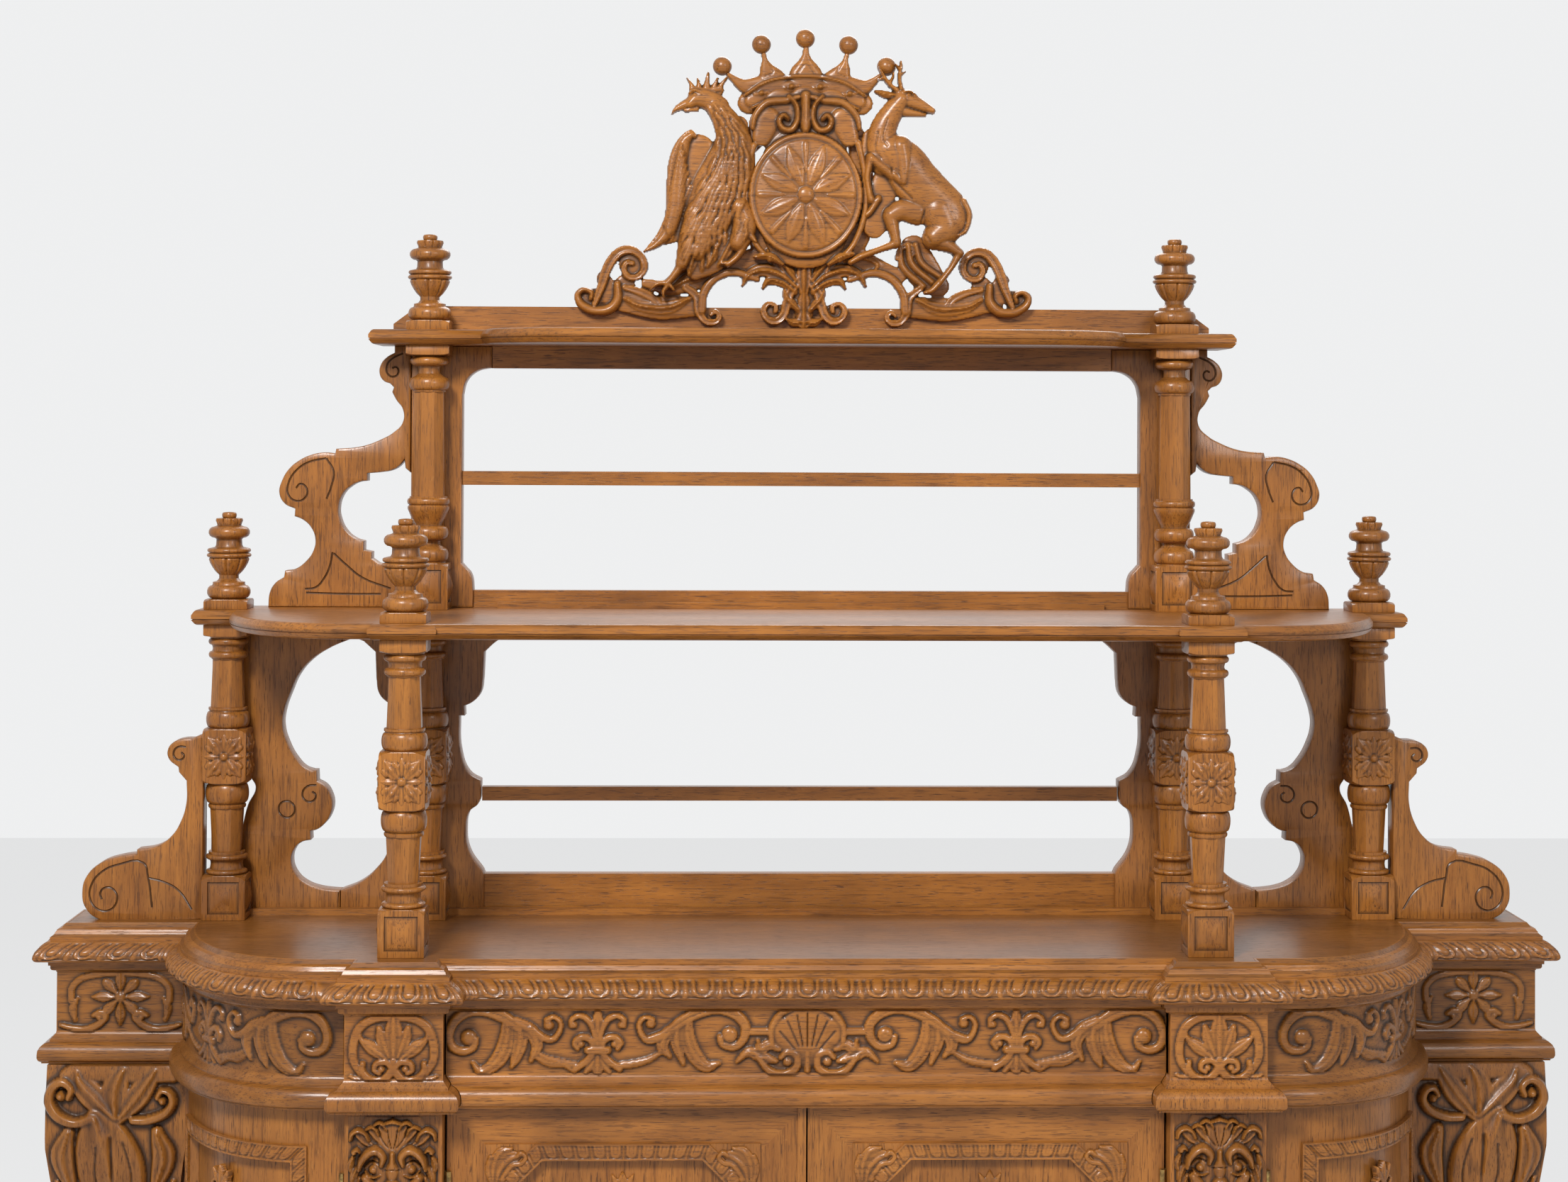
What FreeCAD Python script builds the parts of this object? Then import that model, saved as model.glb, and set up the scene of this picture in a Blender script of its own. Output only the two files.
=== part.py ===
import FreeCAD, Part
import math
import os
import re
import Sketcher
from FreeCAD import Placement, Rotation, Vector

# Carved oak sideboard: a closed base with a bowed front, and two tiers of columns, shelves and
# fretted boards above it. Millimetres, +Z up, front towards -Y. The origin is at floor level,
# in the middle of the width and of the depth.

doc = FreeCAD.newDocument("sideboard")
sheet = doc.addObject("Spreadsheet::Sheet", "sizes")

driving = {
    # the whole piece
    "overall_width": 2800,
    "overall_depth": 594,
    "counter_height": 1100,
    "lower_tier": 545,
    "upper_tier": 491,
    "shelf_thickness": 28,
    "seat_gap": 0.3,
    "overrun": 20,
    # plan of the counter, measured at the face of the frieze
    "egg_reach": 39,
    "pilaster_width": 167,
    "pilaster_offset": 702.5,
    "centre_recess": 41,
    "bow_recess": 31,
    "wing_setback": 395,
    "bow_flank": 1122,
    "bow_nose_run": 44,
    "bow_nose_radius": 250,
    "bow_run": 385,
    # heights and reaches of the counter's mouldings
    "slab_depth": 29,
    "slab_inset": 12,
    "slab_reach": 10,
    "egg_depth": 44,
    "frieze_depth": 121,
    "torus_depth": 55,
    "torus_reach": 29,
    "fillet_reach": 10,
    "fillet_depth": 8,
    "frieze_wall": 24,
    # posts and columns
    "post_width": 80,
    "pommel": 17,
    "column_post_offset": 698,
    "outer_post_offset": 1067,
    "front_post_setback": 133,
    "fret_thickness": 45,
    "turning_sides": 8,
    "octagon_wide": 59,
    "octagon_narrow": 52,
    "octagon_sides": 8,
    "octagon_corner_share": 1.0824,
    "shoulder_share": 1.09,
    "corner_share": 1.54,
    "finial_height": 179,
    "finial_pommel": 9,
    # shelves
    "shelf_edge_reach": 8,
    "shelf_front_step": 11,
    "mid_nose_offset": 790,
    "mid_nose_radius": 207,
    "mid_flank": 1042,
    "top_half_width": 797,
    "top_bow_offset": 590,
    "top_bow_run": 150,
    "top_nose_radius": 220,
    "top_nose_offset": 400,
    # fretted boards of the lower tier
    "fret_outer": 1104,
    "fret_joint": 862,
    "fret_inner": 594,
    "back_rail_height": 73,
    "back_rail_thickness": 26,
    "plate_rail_height": 26,
    "plate_rail_thickness": 22,
    "lower_plate_rail_level": 210,
    "upper_plate_rail_level": 230,
    "upper_stile_outer": 736,
    "upper_stile_width": 152,
    "upper_stile_inner": 640,
    "upper_opening": 618,
    "upper_strip_half": 570,
    "top_rail_height": 41,
    "upper_rail_height": 32,
    "strip_height": 12,
    "strip_reach": 20,
    # scrolled brackets
    "bracket_thickness": 45,
    "upper_bracket_width": 264,
    "lower_bracket_width": 223,
    "lower_bracket_height": 345,
    "bracket_recess": 7,
    # gallery rail and cresting
    "gallery_half_width": 770,
    "gallery_height": 47,
    "gallery_thickness": 25,
    "crest_thickness": 30,
    "crest_half_width": 430,
    "crest_height": 559,
    "crest_overlap": 14,
    # case of the base
    "foot_height": 60,
    "foot_radius": 48,
    "plinth_height": 110,
    "plinth_reach": 24,
    "plinth_wall": 30,
    "board": 20,
    "back_thickness": 15,
    "back_inset": 4,
    "partition_thickness": 22,
    "pilaster_depth": 75,
    "pilaster_base_height": 96,
    "pilaster_base_reach": 14,
    "pilaster_recess": 4,
    "console_width": 255,
    "console_depth": 62,
    "shelf_front_gap": 60,
    "cupboard_shelf_share": 0.48,
    # doors
    "door_gap": 3,
    "door_setback": 6,
    "door_thickness": 28,
    "door_frame_width": 64,
    "door_swing_gap": 1,
    "panel_thickness": 12,
    "panel_setback": 9,
    "panel_moulding_width": 27,
    "panel_moulding_reach": 20,
    "panel_clip": 72,
    "bead_width": 14,
    "bead_reach": 5,
    "knuckle_radius": 5.4,
    "knuckle_stand": 6,
    "pin_radius": 2.2,
    "pin_clearance": 0.06,
    "knuckle_length": 34,
    "hinge_leaf": 1.2,
    "hinge_leaf_width": 24,
    "hinge_inset": 110,
    # drawer
    "drawer_gap": 1.5,
    "drawer_front_thickness": 22,
    "drawer_side": 14,
    "drawer_bottom": 9,
    "drawer_depth": 440,
    "drawer_box_height": 112,
    "guide_width": 22,
    "guide_height": 36,
    "dust_board": 18,
}

for row, (name, number) in enumerate(driving.items(), 1):
    sheet.set("A%d" % row, name)
    sheet.set("B%d" % row, str(number))
    sheet.setAlias("B%d" % row, name)
doc.recompute()

SIDES = (("left", -1), ("right", 1))


def bound(text):
    """The expression with each named size read from the sheet."""
    def cell(found):
        word = found.group()
        return "sizes." + word if word in driving else word
    return re.sub(r"[a-z]\w*", cell, str(text))


def value(text):
    return float(sheet.evalExpression(bound(text)))


def bind(thing, prop, text):
    thing.setExpression(prop, bound(text))


# Levels and faces that several pieces share
front = "(-overall_depth / 2)"
back = "(overall_depth / 2)"
pilaster_face = f"({front} + egg_reach)"
centre_face = f"({pilaster_face} + centre_recess)"
bow_face = f"({pilaster_face} + bow_recess)"
wing_face = f"({pilaster_face} + wing_setback)"
wing_side = "(overall_width / 2 - egg_reach)"
pilaster_inner = "(pilaster_offset - pilaster_width / 2)"
pilaster_outer = "(pilaster_offset + pilaster_width / 2)"
bow_nose = f"({pilaster_outer} + bow_nose_run)"
slab_under = "(counter_height - slab_depth)"
egg_under = f"({slab_under} - egg_depth)"
frieze_under = f"({egg_under} - frieze_depth)"
torus_under = f"({frieze_under} - torus_depth)"
case_floor = "(foot_height + plinth_height)"
mid_top = "(counter_height + lower_tier + shelf_thickness)"
mid_under = "(counter_height + lower_tier)"
top_under = f"({mid_top} + upper_tier)"
top_top = f"({top_under} + shelf_thickness)"
fret_front = f"({back} - fret_thickness)"
rear_axis = f"({fret_front} - post_width / 2)"
front_axis = f"({front} + front_post_setback)"
door_face = f"({centre_face} + door_setback)"
door_back = f"({door_face} + door_thickness)"
back_front = f"({back} - back_inset - back_thickness)"

# Scrolled bracket beside the upper tier, from the stile outwards
upper_bracket_shares = (
    (0, 0), (1, 0), (0.94, 0.1), (0.88, 0.12), (0.88, 0.14), (0.74, 0.33, -0.7), (0.82, 0.33),
    (0.8, 0.38), (0.92, 0.44), (0.84, 0.54), (0.54, 0.59), (0.53, 0.605), (0.05, 0.77, -0.42),
    (0.13, 0.82), (0.12, 0.855), (0.15, 0.855), (0.22, 0.91), (0.11, 0.97), (0.11, 1), (0, 1),
    (0, 0.515), (0.03, 0.57), (0.21, 0.51), (0.3, 0.51), (0.3, 0.48), (0.5, 0.37, -0.4),
    (0.32, 0.25, -0.35), (0.32, 0.22), (0.22, 0.17), (0, 0.16),
)

# Scrolled bracket beside the outer column, from the column outwards
lower_bracket_shares = (
    (0, 0), (0.86, 0), (1, 0.15, 0.35), (0.85, 0.3, 0.3), (0.55, 0.35), (0.55, 0.37), (0.16, 0.58, -0.37),
    (0.21, 0.8), (0.26, 0.9), (0.18, 0.96), (0.02, 0.985), (0, 1), (0, 0.7), (0.03, 0.7), (0.03, 0.26),
    (0, 0.26),
)

# Pierced board of the lower tier, from its joint with the stile board outwards
fret_shares = (
    (0, 0), (1, 0), (1, 0.29), (0.75, 0.3), (0.72, 0.37), (0.69, 0.46), (1, 0.47), (1, 1),
    (0, 1), (0, 0.93), (0.39, 0.76, -0.24), (0.42, 0.59, -0.25), (0.19, 0.49), (0.19, 0.45),
    (0.07, 0.38), (0.1, 0.31), (0.25, 0.28), (0.25, 0.25), (0.37, 0.2), (0.36, 0.1), (0.19, 0.09),
    (0, 0.08),
)

# Shaped board behind the rear column of the lower tier, from the middle outwards; its inner nibs
# hold the plate rail
nib_share = 0.02
stile_board_shares = (
    (0, 0), (1, 0), (1, 0.08), (0.73, 0.14), (0.735, 0.38, -0.38), (0.76, 0.42), (0.75, 0.46),
    (0.6, 0.56), (0.6, 0.68), (0.63, 0.71), (0.76, 0.78), (0.77, 0.9), (0.86, 0.935),
    (1, 0.93), (1, 1), (-0.13, 1), (-0.13, 0.95), (0, 0.9, -0.4), (0.01, 0.78), (0.15, 0.71),
    (0.18, 0.68), (0.17, 0.56), (0.03, 0.46), (nib_share, 0.42), (0.045, 0.38), (0.045, 0.14, -0.38),
    (0, 0.13),
)

# Stile of the upper tier with its head and its ear, from the middle outwards
upper_stile_shares = (
    (0.225, 0), (1, 0), (1, 1), (0, 1), (0, 0.916), (0.045, 0.916), (0.37, 0.815, -0.41), (0.37, 0.165),
    (0.225, 0.07, 0.28),
)

# Low board behind the cresting, with ogee ends
gallery_shares = (
    (-1, 0), (1, 0), (1, 0.28), (0.955, 0.83), (0.94, 1), (-0.94, 1), (-0.955, 0.83), (-1, 0.28),
)

# Pierced scrollwork that the shield and the supporters stand on
scrollwork_shares = (
    (-0.99, 0.06), (-0.97, 0.11), (-0.92, 0.12), (-0.89, 0.09), (-0.85, 0.13), (-0.81, 0.25),
    (-0.72, 0.26), (-0.69, 0.2), (-0.7, 0.16), (-0.58, 0.14), (0, 0.25, -0.08), (0.59, 0.145, -0.08),
    (0.68, 0.17), (0.7, 0.25), (0.76, 0.27), (0.84, 0.25), (0.85, 0.2), (0.87, 0.095), (0.94, 0.125), (0.98, 0.07),
    (0.93, 0.04), (0.83, 0.045), (0.8, 0.01), (0.38, 0), (0.35, 0.05), (0.4, 0.07), (0.24, 0.15, 0.5),
    (0.2, 0.11), (0.21, 0.05), (0.16, 0.02), (0.09, 0), (-0.09, 0), (-0.16, 0.02), (-0.21, 0.05),
    (-0.2, 0.11), (-0.24, 0.15), (-0.4, 0.07, 0.5), (-0.35, 0.05), (-0.38, 0), (-0.8, 0), (-0.85, 0.02),
    (-0.94, 0.02),
)

# Crowned eagle to the left of the shield
eagle_shares = (
    (-0.58, 0.705), (-0.53, 0.725), (-0.46, 0.71), (-0.41, 0.69), (-0.4, 0.66), (-0.42, 0.625),
    (-0.45, 0.6), (-0.46, 0.64), (-0.56, 0.58, 0.2), (-0.59, 0.335, 0.12), (-0.68, 0.245), (-0.61, 0.26),
    (-0.56, 0.255), (-0.58, 0.175), (-0.63, 0.15), (-0.58, 0.13), (-0.43, 0.19), (-0.26, 0.275),
    (-0.28, 0.33), (-0.28, 0.525), (-0.29, 0.68), (-0.39, 0.78, 0.12), (-0.37, 0.82), (-0.41, 0.815),
    (-0.43, 0.845), (-0.47, 0.815), (-0.52, 0.825), (-0.5, 0.78), (-0.53, 0.75),
)

# Stag to the right of the shield
stag_shares = (
    (0.58, 0.72), (0.5, 0.7), (0.45, 0.705), (0.51, 0.62, 0.2), (0.63, 0.5), (0.735, 0.36, -0.1),
    (0.7, 0.29), (0.63, 0.31), (0.71, 0.245), (0.67, 0.2), (0.62, 0.12), (0.58, 0.145), (0.64, 0.235),
    (0.51, 0.285), (0.39, 0.26), (0.28, 0.21), (0.25, 0.24), (0.39, 0.31), (0.41, 0.37), (0.33, 0.375),
    (0.3, 0.37), (0.3, 0.42), (0.28, 0.52), (0.28, 0.585), (0.32, 0.59), (0.39, 0.73, -0.15),
    (0.32, 0.765), (0.36, 0.79), (0.33, 0.835), (0.39, 0.825), (0.42, 0.885), (0.45, 0.86), (0.42, 0.81),
    (0.5, 0.775),
)

# Shield with its shoulders
shield_shares = (
    (0, 0.235, -0.3), (-0.25, 0.435, -0.3), (-0.235, 0.58), (-0.245, 0.63), (-0.225, 0.705),
    (-0.07, 0.75), (0.07, 0.75), (0.235, 0.705), (0.265, 0.62), (0.24, 0.58), (0.26, 0.43),
)

# Crown with five balls over the shield
crown_shares = (
    (-0.25, 0.74), (0.28, 0.745, -0.07), (0.27, 0.77), (0.34, 0.835), (0.395, 0.835), (0.4, 0.88),
    (0.36, 0.9), (0.32, 0.88), (0.31, 0.855), (0.22, 0.895), (0.25, 0.92), (0.24, 0.955),
    (0.2, 0.96), (0.17, 0.935), (0.18, 0.895), (0.04, 0.915), (0.05, 0.96), (0.03, 1), (-0.02, 1),
    (-0.05, 0.96), (-0.04, 0.915), (-0.16, 0.9), (-0.15, 0.93), (-0.17, 0.96), (-0.21, 0.96),
    (-0.23, 0.93), (-0.21, 0.9), (-0.3, 0.855), (-0.32, 0.88), (-0.35, 0.9), (-0.39, 0.88),
    (-0.39, 0.84), (-0.34, 0.83), (-0.26, 0.77, 0.15),
)

nodes = []


def keep(piece, label):
    piece.Label = label
    nodes.append(piece)
    return piece


def box(name, x, y, z):
    """A box between a low and a high expression on each axis."""
    piece = doc.addObject("Part::Box", name)
    for prop, axis, (low, high) in zip(("Length", "Width", "Height"), "xyz", (x, y, z)):
        bind(piece, prop, f"({high}) - ({low})")
        bind(piece, "Placement.Base." + axis, low)
    return piece


def joined(name, kind, pieces):
    """One document object that fuses, cuts, intersects or groups others."""
    piece = doc.addObject(kind, name)
    if kind == "Part::Cut":
        piece.Base, piece.Tool = pieces
    elif kind == "Part::Compound":
        piece.Links = pieces
    else:
        piece.Shapes = pieces
    if kind == "Part::MultiFuse":
        piece.Refine = True
    return piece


def drawOutline(sketch, outline):
    """Closes an outline of (x, y) or (x, y, bulge), each coordinate bound to the sheet.

    The third number makes the stretch that ends there an arc: its rise over half its chord,
    positive where the arc lies to the right of the way drawn.
    """
    spots = [Vector(value(point[0]), value(point[1]), 0) for point in outline]
    shapes = []
    for index, point in enumerate(outline):
        start = spots[index - 1]
        end = spots[index]
        if len(point) == 3:
            chord = end - start
            middle = (start + end) * 0.5 + Vector(chord.y, -chord.x, 0) * (0.5 * point[2])
            shapes.append(Part.Arc(start, middle, end))
        else:
            shapes.append(Part.LineSegment(start, end))
    sketch.addGeometry(shapes, False)
    first = []
    for index in range(len(outline)):
        near = (sketch.getPoint(index, 1) - spots[index - 1]).Length
        far = (sketch.getPoint(index, 2) - spots[index - 1]).Length
        first.append(1 if near < far else 2)
    for index, point in enumerate(outline):
        last = 3 - first[index]
        before = (index - 1) % len(outline)
        sketch.addConstraint(Sketcher.Constraint("Coincident", before, 3 - first[before], index, first[index]))
        for kind, axis, text in (("DistanceX", -2, point[0]), ("DistanceY", -1, point[1])):
            number = value(text)
            if number == 0:
                sketch.addConstraint(Sketcher.Constraint("PointOnObject", index, last, axis))
                continue
            datum = sketch.addConstraint(Sketcher.Constraint(kind, -1, 1, index, last, number))
            bind(sketch, "Constraints[%d]" % datum, text)


def sketchOn(body, role, name):
    sketch = body.newObject("Sketcher::SketchObject", name)
    plane = [item for item in body.Origin.OriginFeatures if item.Role == role][0]
    sketch.AttachmentSupport = [(plane, "")]
    sketch.MapMode = "FlatFace"
    return sketch


def padded(name, role, outline, depth, at):
    """A body padded from one outline: on XZ towards the front, on XY upwards, on YZ to the right."""
    body = doc.addObject("PartDesign::Body", name)
    sketch = sketchOn(body, role, name + "_outline")
    drawOutline(sketch, outline)
    pad = body.newObject("PartDesign::Pad", name + "_pad")
    pad.Profile = sketch
    bind(pad, "Length", depth)
    bind(body, "Placement.Base." + {"XZ_Plane": "y", "XY_Plane": "z", "YZ_Plane": "x"}[role], at)
    return body


def sidedRing(name, radius, level, sides):
    """A many-sided ring square to Z, with a flat towards the front; its radius is to the corners."""
    piece = doc.addObject("Part::RegularPolygon", name)
    bind(piece, "Polygon", sides)
    bind(piece, "Circumradius", radius)
    piece.Placement = Placement(Vector(0, 0, 0), Rotation(Vector(0, 0, 1), 180 / value(sides)))
    bind(piece, "Placement.Base.z", level)
    return piece


def turned(name, profile, sides="turning_sides"):
    """A turning through (radius, height) points, upwards, as a ruled loft of rings."""
    piece = doc.addObject("Part::Loft", name)
    piece.Sections = [sidedRing("%s_ring_%d" % (name, index), radius, level, sides)
                      for index, (radius, level) in enumerate(profile, 1)]
    piece.Solid = True
    piece.Ruled = True
    return piece


def mirrored(outline, side):
    """The outline on the right (side 1), or turned over for the left (side -1)."""
    points = []
    for point in outline:
        x = point[0] if side == 1 else f"-1 * ({point[0]})"
        points.append((x, point[1]) + tuple(side * bulge for bulge in point[2:]))
    return points


def atPlaces(label, source, places):
    """Copies of one piece, grouped, each moved by an (x, y, z) of expressions."""
    copies = []
    for index, place in enumerate(places, 1):
        copy = doc.addObject("App::Link", "%s_%d" % (label, index))
        copy.LinkedObject = source
        for axis, text in zip("xyz", place):
            bind(copy, "Placement.Base." + axis, text)
        copies.append(copy)
    return keep(joined(label, "Part::Compound", copies), label)


# The plan of the counter. Each moulding follows it at its own reach beyond the frieze's face.

def bowArcs(reach):
    """Centres and radii of the two arcs that make a bow: the nose and, tangent to it, the flank."""
    across = value(f"bow_flank - {bow_nose}")
    along = value("bow_run")
    nose = value("bow_nose_radius")
    flank = (across ** 2 + (along - nose) ** 2 - nose ** 2) / (2 * (across - nose))
    nose_centre = Vector(value(bow_nose), value(bow_face) + nose, 0)
    flank_centre = Vector(value("bow_flank") - flank, value(bow_face) + along, 0)
    return nose_centre, nose + reach, flank_centre, flank + reach


def onCircle(centre, radius, angle):
    return centre + Vector(radius * math.cos(angle), radius * math.sin(angle), 0)


def bowAngles(reach):
    """Angle where the arcs meet, and the one where the flank meets the front of the wing."""
    nose_centre, nose, flank_centre, flank = bowArcs(reach)
    shared = nose_centre - flank_centre
    wing_rise = value(wing_face) - reach - flank_centre.y
    return math.atan2(shared.y, shared.x), math.asin(wing_rise / flank)


def planCorners(reach):
    """The right half of the plan as (corner, point the arc passes through), centre to back."""
    inner = value(pilaster_inner) - reach
    outer = value(pilaster_outer) + reach
    nose_centre, nose, flank_centre, flank = bowArcs(reach)
    meet, end = bowAngles(reach)
    side = value(wing_side) + reach
    straight = [(inner, centre_face), (inner, pilaster_face), (outer, pilaster_face), (outer, bow_face)]
    corners = [(Vector(x, value(face) - reach, 0), None) for x, face in straight]
    corners.append((onCircle(nose_centre, nose, -math.pi / 2), None))
    corners.append((onCircle(nose_centre, nose, meet), onCircle(nose_centre, nose, (meet - math.pi / 2) / 2)))
    corners.append((onCircle(flank_centre, flank, end), onCircle(flank_centre, flank, (meet + end) / 2)))
    corners.append((Vector(side, value(wing_face) - reach, 0), None))
    corners.append((Vector(side, value(back), 0), None))
    return corners


def flipped(spot):
    return Vector(-spot.x, spot.y, spot.z)


def closedWire(corners, level):
    """A symmetric closed wire at one level, from the corners of its right half."""
    lift = Vector(0, 0, level)
    path = [(spot, through) for spot, through in corners]
    for index in range(len(corners) - 1, -1, -1):
        through = corners[index + 1][1] if index + 1 < len(corners) else None
        path.append((flipped(corners[index][0]), flipped(through) if through else None))
    edges = []
    for index, (spot, through) in enumerate(path):
        start = path[index - 1][0]
        if through:
            edges.append(Part.Arc(start + lift, through + lift, spot + lift).toShape())
        else:
            edges.append(Part.LineSegment(start + lift, spot + lift).toShape())
    return Part.Wire(edges)


def stacked(outline, profile):
    """A solid whose outline grows and shrinks with (reach, level) points, from the bottom up."""
    wires = [outline(reach, level) for reach, level in profile]
    return Part.makeLoft(wires, True, True)


def planWire(reach, level):
    return closedWire(planCorners(reach), level)


def slab(x, y, z):
    """A plain block between numbers, for trimming the shapes that follow the plan."""
    return Part.makeBox(x[1] - x[0], y[1] - y[0], z[1] - z[0], Vector(x[0], y[0], z[0]))


def shaped(label, shape):
    piece = doc.addObject("Part::Feature", label)
    piece.Shape = shape
    piece.Placement = Placement(Vector(0, 0, 0), Rotation())
    return keep(piece, label)


def levels(shares, low, high, reach):
    """A moulding's (reach, level) points from its shares of a reach and of a height."""
    return [(share * reach, low + rise * (high - low)) for share, rise in shares]


# Mouldings, bottom up, as shares of their reach and of their height
slab_shares = ((1, 0), (1, 0.26), (-0.3, 0.6), (-1.2, 1))
egg_shares = ((0.3, 0), (1, 0.3), (0.9, 0.65), (0.31, 1))
torus_shares = ((0.45, 0), (1, 0.12), (0.9, 0.5), (0, 1))


def threeLengths(shape):
    """A piece that follows the plan, made up of one length between the pilasters and one each side."""
    split = value(f"{pilaster_inner} - egg_reach")
    lengths = []
    for span in ((-far_out, -split), (-split, split), (split, far_out)):
        lengths += shape.common(slab(span, (-far_out, far_out), (-far_out, far_out))).Solids
    return Part.makeCompound(lengths)


def sectionHeights():
    return [value(level) for level in (torus_under, frieze_under, egg_under, slab_under, "counter_height")]


torus_low, frieze_low, egg_low, slab_low, counter_top_level = sectionHeights()
far_out = value("overall_width")

# counter_top: one board with a coved edge, cut to the whole plan
slab_profile = levels(slab_shares, slab_low, counter_top_level, value("slab_reach"))
shaped("counter_top", stacked(planWire, slab_profile))

# egg_moulding: the carved ovolo under the board, open behind
egg_profile = levels(egg_shares, egg_low, slab_low, value("egg_reach"))
wall = -value("frieze_wall")
hollow = stacked(planWire, [(wall, egg_low - value("overrun")), (wall, slab_low + value("overrun"))])
behind = slab((-value(wing_side) - wall, value(wing_side) + wall),
              (value(wing_face) - wall, value(back) + value("overrun")),
              (egg_low - value("overrun"), slab_low + value("overrun")))
shaped("egg_moulding", threeLengths(stacked(planWire, egg_profile).cut(hollow).cut(behind)))


# The frieze: plain face with a small fillet above, and the torus under it

def friezeProfile():
    reach = value("fillet_reach")
    depth = value("fillet_depth")
    points = levels(torus_shares, torus_low, frieze_low, value("torus_reach"))
    points += [(0, egg_low - depth), (reach, egg_low)]
    return points


def pilasterWire(side, turned_back):
    """Plan of a pilaster at a reach: the back stays on one plane, the ends only where told."""
    def wire(reach, level):
        turn = reach if turned_back else 0
        near = value(pilaster_inner) - turn
        far = value(pilaster_outer) + turn
        face = value(pilaster_face) - reach
        spots = [(near, face), (far, face), (far, pilaster_back), (near, pilaster_back), (near, face)]
        return Part.makePolygon([Vector(side * x, y, level) for x, y in spots])
    return wire


def dieProfile():
    low = value(case_floor)
    base = low + value("pilaster_base_height")
    reach = value("pilaster_base_reach")
    recess = -value("pilaster_recess")
    return [(reach, low), (reach, base - reach), (0, base), (recess, base + reach), (recess, torus_low)]


pilaster_back = value(pilaster_face) + value("pilaster_depth")
pilaster_shapes = {}
for word, side in SIDES:
    die = stacked(pilasterWire(side, False), dieProfile())
    head = stacked(pilasterWire(side, True), friezeProfile())
    pilaster_shapes[word] = die.fuse(head).removeSplitter()

# frieze_left, frieze_right: the fixed bow and wing parts of the frieze
for word, side in SIDES:
    body_of_frieze = stacked(planWire, friezeProfile())
    low, high = torus_low - value("overrun"), egg_low + value("overrun")
    hollow = stacked(planWire, [(wall, low), (wall, high)])
    behind = slab((-value(wing_side) - wall, value(wing_side) + wall),
                  (value(wing_face) - wall, value(back) + value("overrun")), (low, high))
    half = sorted((side * value(pilaster_outer), side * far_out))
    region = slab(half, (-far_out, far_out), (low, high))
    piece = body_of_frieze.cut(hollow).cut(behind).common(region).cut(pilaster_shapes[word])
    shaped("frieze_" + word, piece)


def scaled(shares, left, width, low, height):
    """Outline points from shares of a width and a height."""
    points = []
    for share in shares:
        spot = (f"{left} + ({width}) * {share[0]}", f"{low} + ({height}) * {share[1]}")
        points.append(spot + tuple(share[2:]))
    return points


# pilaster_left, pilaster_right: the dies that the doors hang on, with the torus turned round them
for word, side in SIDES:
    shaped("pilaster_" + word, pilaster_shapes[word])


# Plan-following case of the base

def planSolid(reach, low, high):
    """The whole plan at one reach, between two levels."""
    return Part.Face(planWire(reach, low)).extrude(Vector(0, 0, high - low))


case_low = value(case_floor) - value("board")
plinth_shares = ((1, 0), (1, 0.78), (0.5, 1))
plinth_profile = levels(plinth_shares, value("foot_height"), case_low, value("plinth_reach"))
inside = planSolid(-value("plinth_wall"), 0, case_low + value("overrun"))
inside = inside.cut(slab((-far_out, far_out), (value(back) - value("plinth_wall"), far_out), (0, far_out)))
shaped("plinth", threeLengths(stacked(planWire, plinth_profile).cut(inside)))

floor_shares = ((0.5, 0), (0.3, 1))
floor_profile = levels(floor_shares, case_low, value(case_floor), value("plinth_reach"))
shaped("cabinet_floor", threeLengths(stacked(planWire, floor_profile)))

bow_end = value(f"{wing_face} - console_depth")
for word, side in SIDES:
    ring = planSolid(0, value(case_floor), torus_low)
    ring = ring.cut(planSolid(wall, 0, far_out))
    ring = ring.cut(slab((-value(wing_side) - wall, value(wing_side) + wall),
                         (value(wing_face) - wall, far_out), (0, far_out)))
    half = sorted((side * value(pilaster_outer), side * far_out))
    shaped("wing_case_" + word, ring.common(slab(half, (bow_end, far_out), (0, far_out))))

shelf_low = value(case_floor) + value("cupboard_shelf_share") * (torus_low - value(case_floor))
shelf_high = shelf_low + value("dust_board")
shelf_plan = planSolid(-value("shelf_front_gap"), shelf_low, shelf_high)
shelf_boards = []
for word, side in SIDES:
    half = sorted((side * value("pilaster_offset + partition_thickness / 2"), side * value(wing_side)))
    shelf_boards.append(shelf_plan.common(slab(half, (-far_out, value(back_front)), (0, far_out))).cut(
        slab(sorted((0, side * value(pilaster_outer))), (-far_out, value(door_back)), (0, far_out))))
side_shelf_boards = doc.addObject("Part::Feature", "side_shelf_boards")
side_shelf_boards.Shape = Part.makeCompound(shelf_boards)

case_inner = f"({wing_side} - frieze_wall)"
keep(box("cabinet_back_board", (f"-1 * {case_inner}", case_inner), (back_front, f"{back_front} + back_thickness"),
         (case_floor, slab_under)), "cabinet_back")
partitions = []
for word, side in SIDES:
    ends = (f"{side} * pilaster_offset - partition_thickness / 2",
            f"{side} * pilaster_offset + partition_thickness / 2")
    partitions.append(box("partition_board_" + word, ends, (door_back, back_front), (case_floor, slab_under)))
keep(joined("partitions_group", "Part::Compound", partitions), "partitions")
bay = "(pilaster_offset - partition_thickness / 2)"
shelf_level = f"({case_floor} + cupboard_shelf_share * ({torus_under} - {case_floor}))"
centre_shelf = box("centre_shelf_board", (f"-1 * {bay}", bay), (f"{door_back} + shelf_front_gap", back_front),
                   (shelf_level, f"{shelf_level} + dust_board"))
keep(joined("shelves_group", "Part::Compound", [centre_shelf, side_shelf_boards]), "cupboard_shelves")
drawer_panel = box("drawer_board_panel", (f"-1 * {bay}", bay), (door_back, back_front),
                   (f"{torus_under} - dust_board", torus_under))

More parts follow.
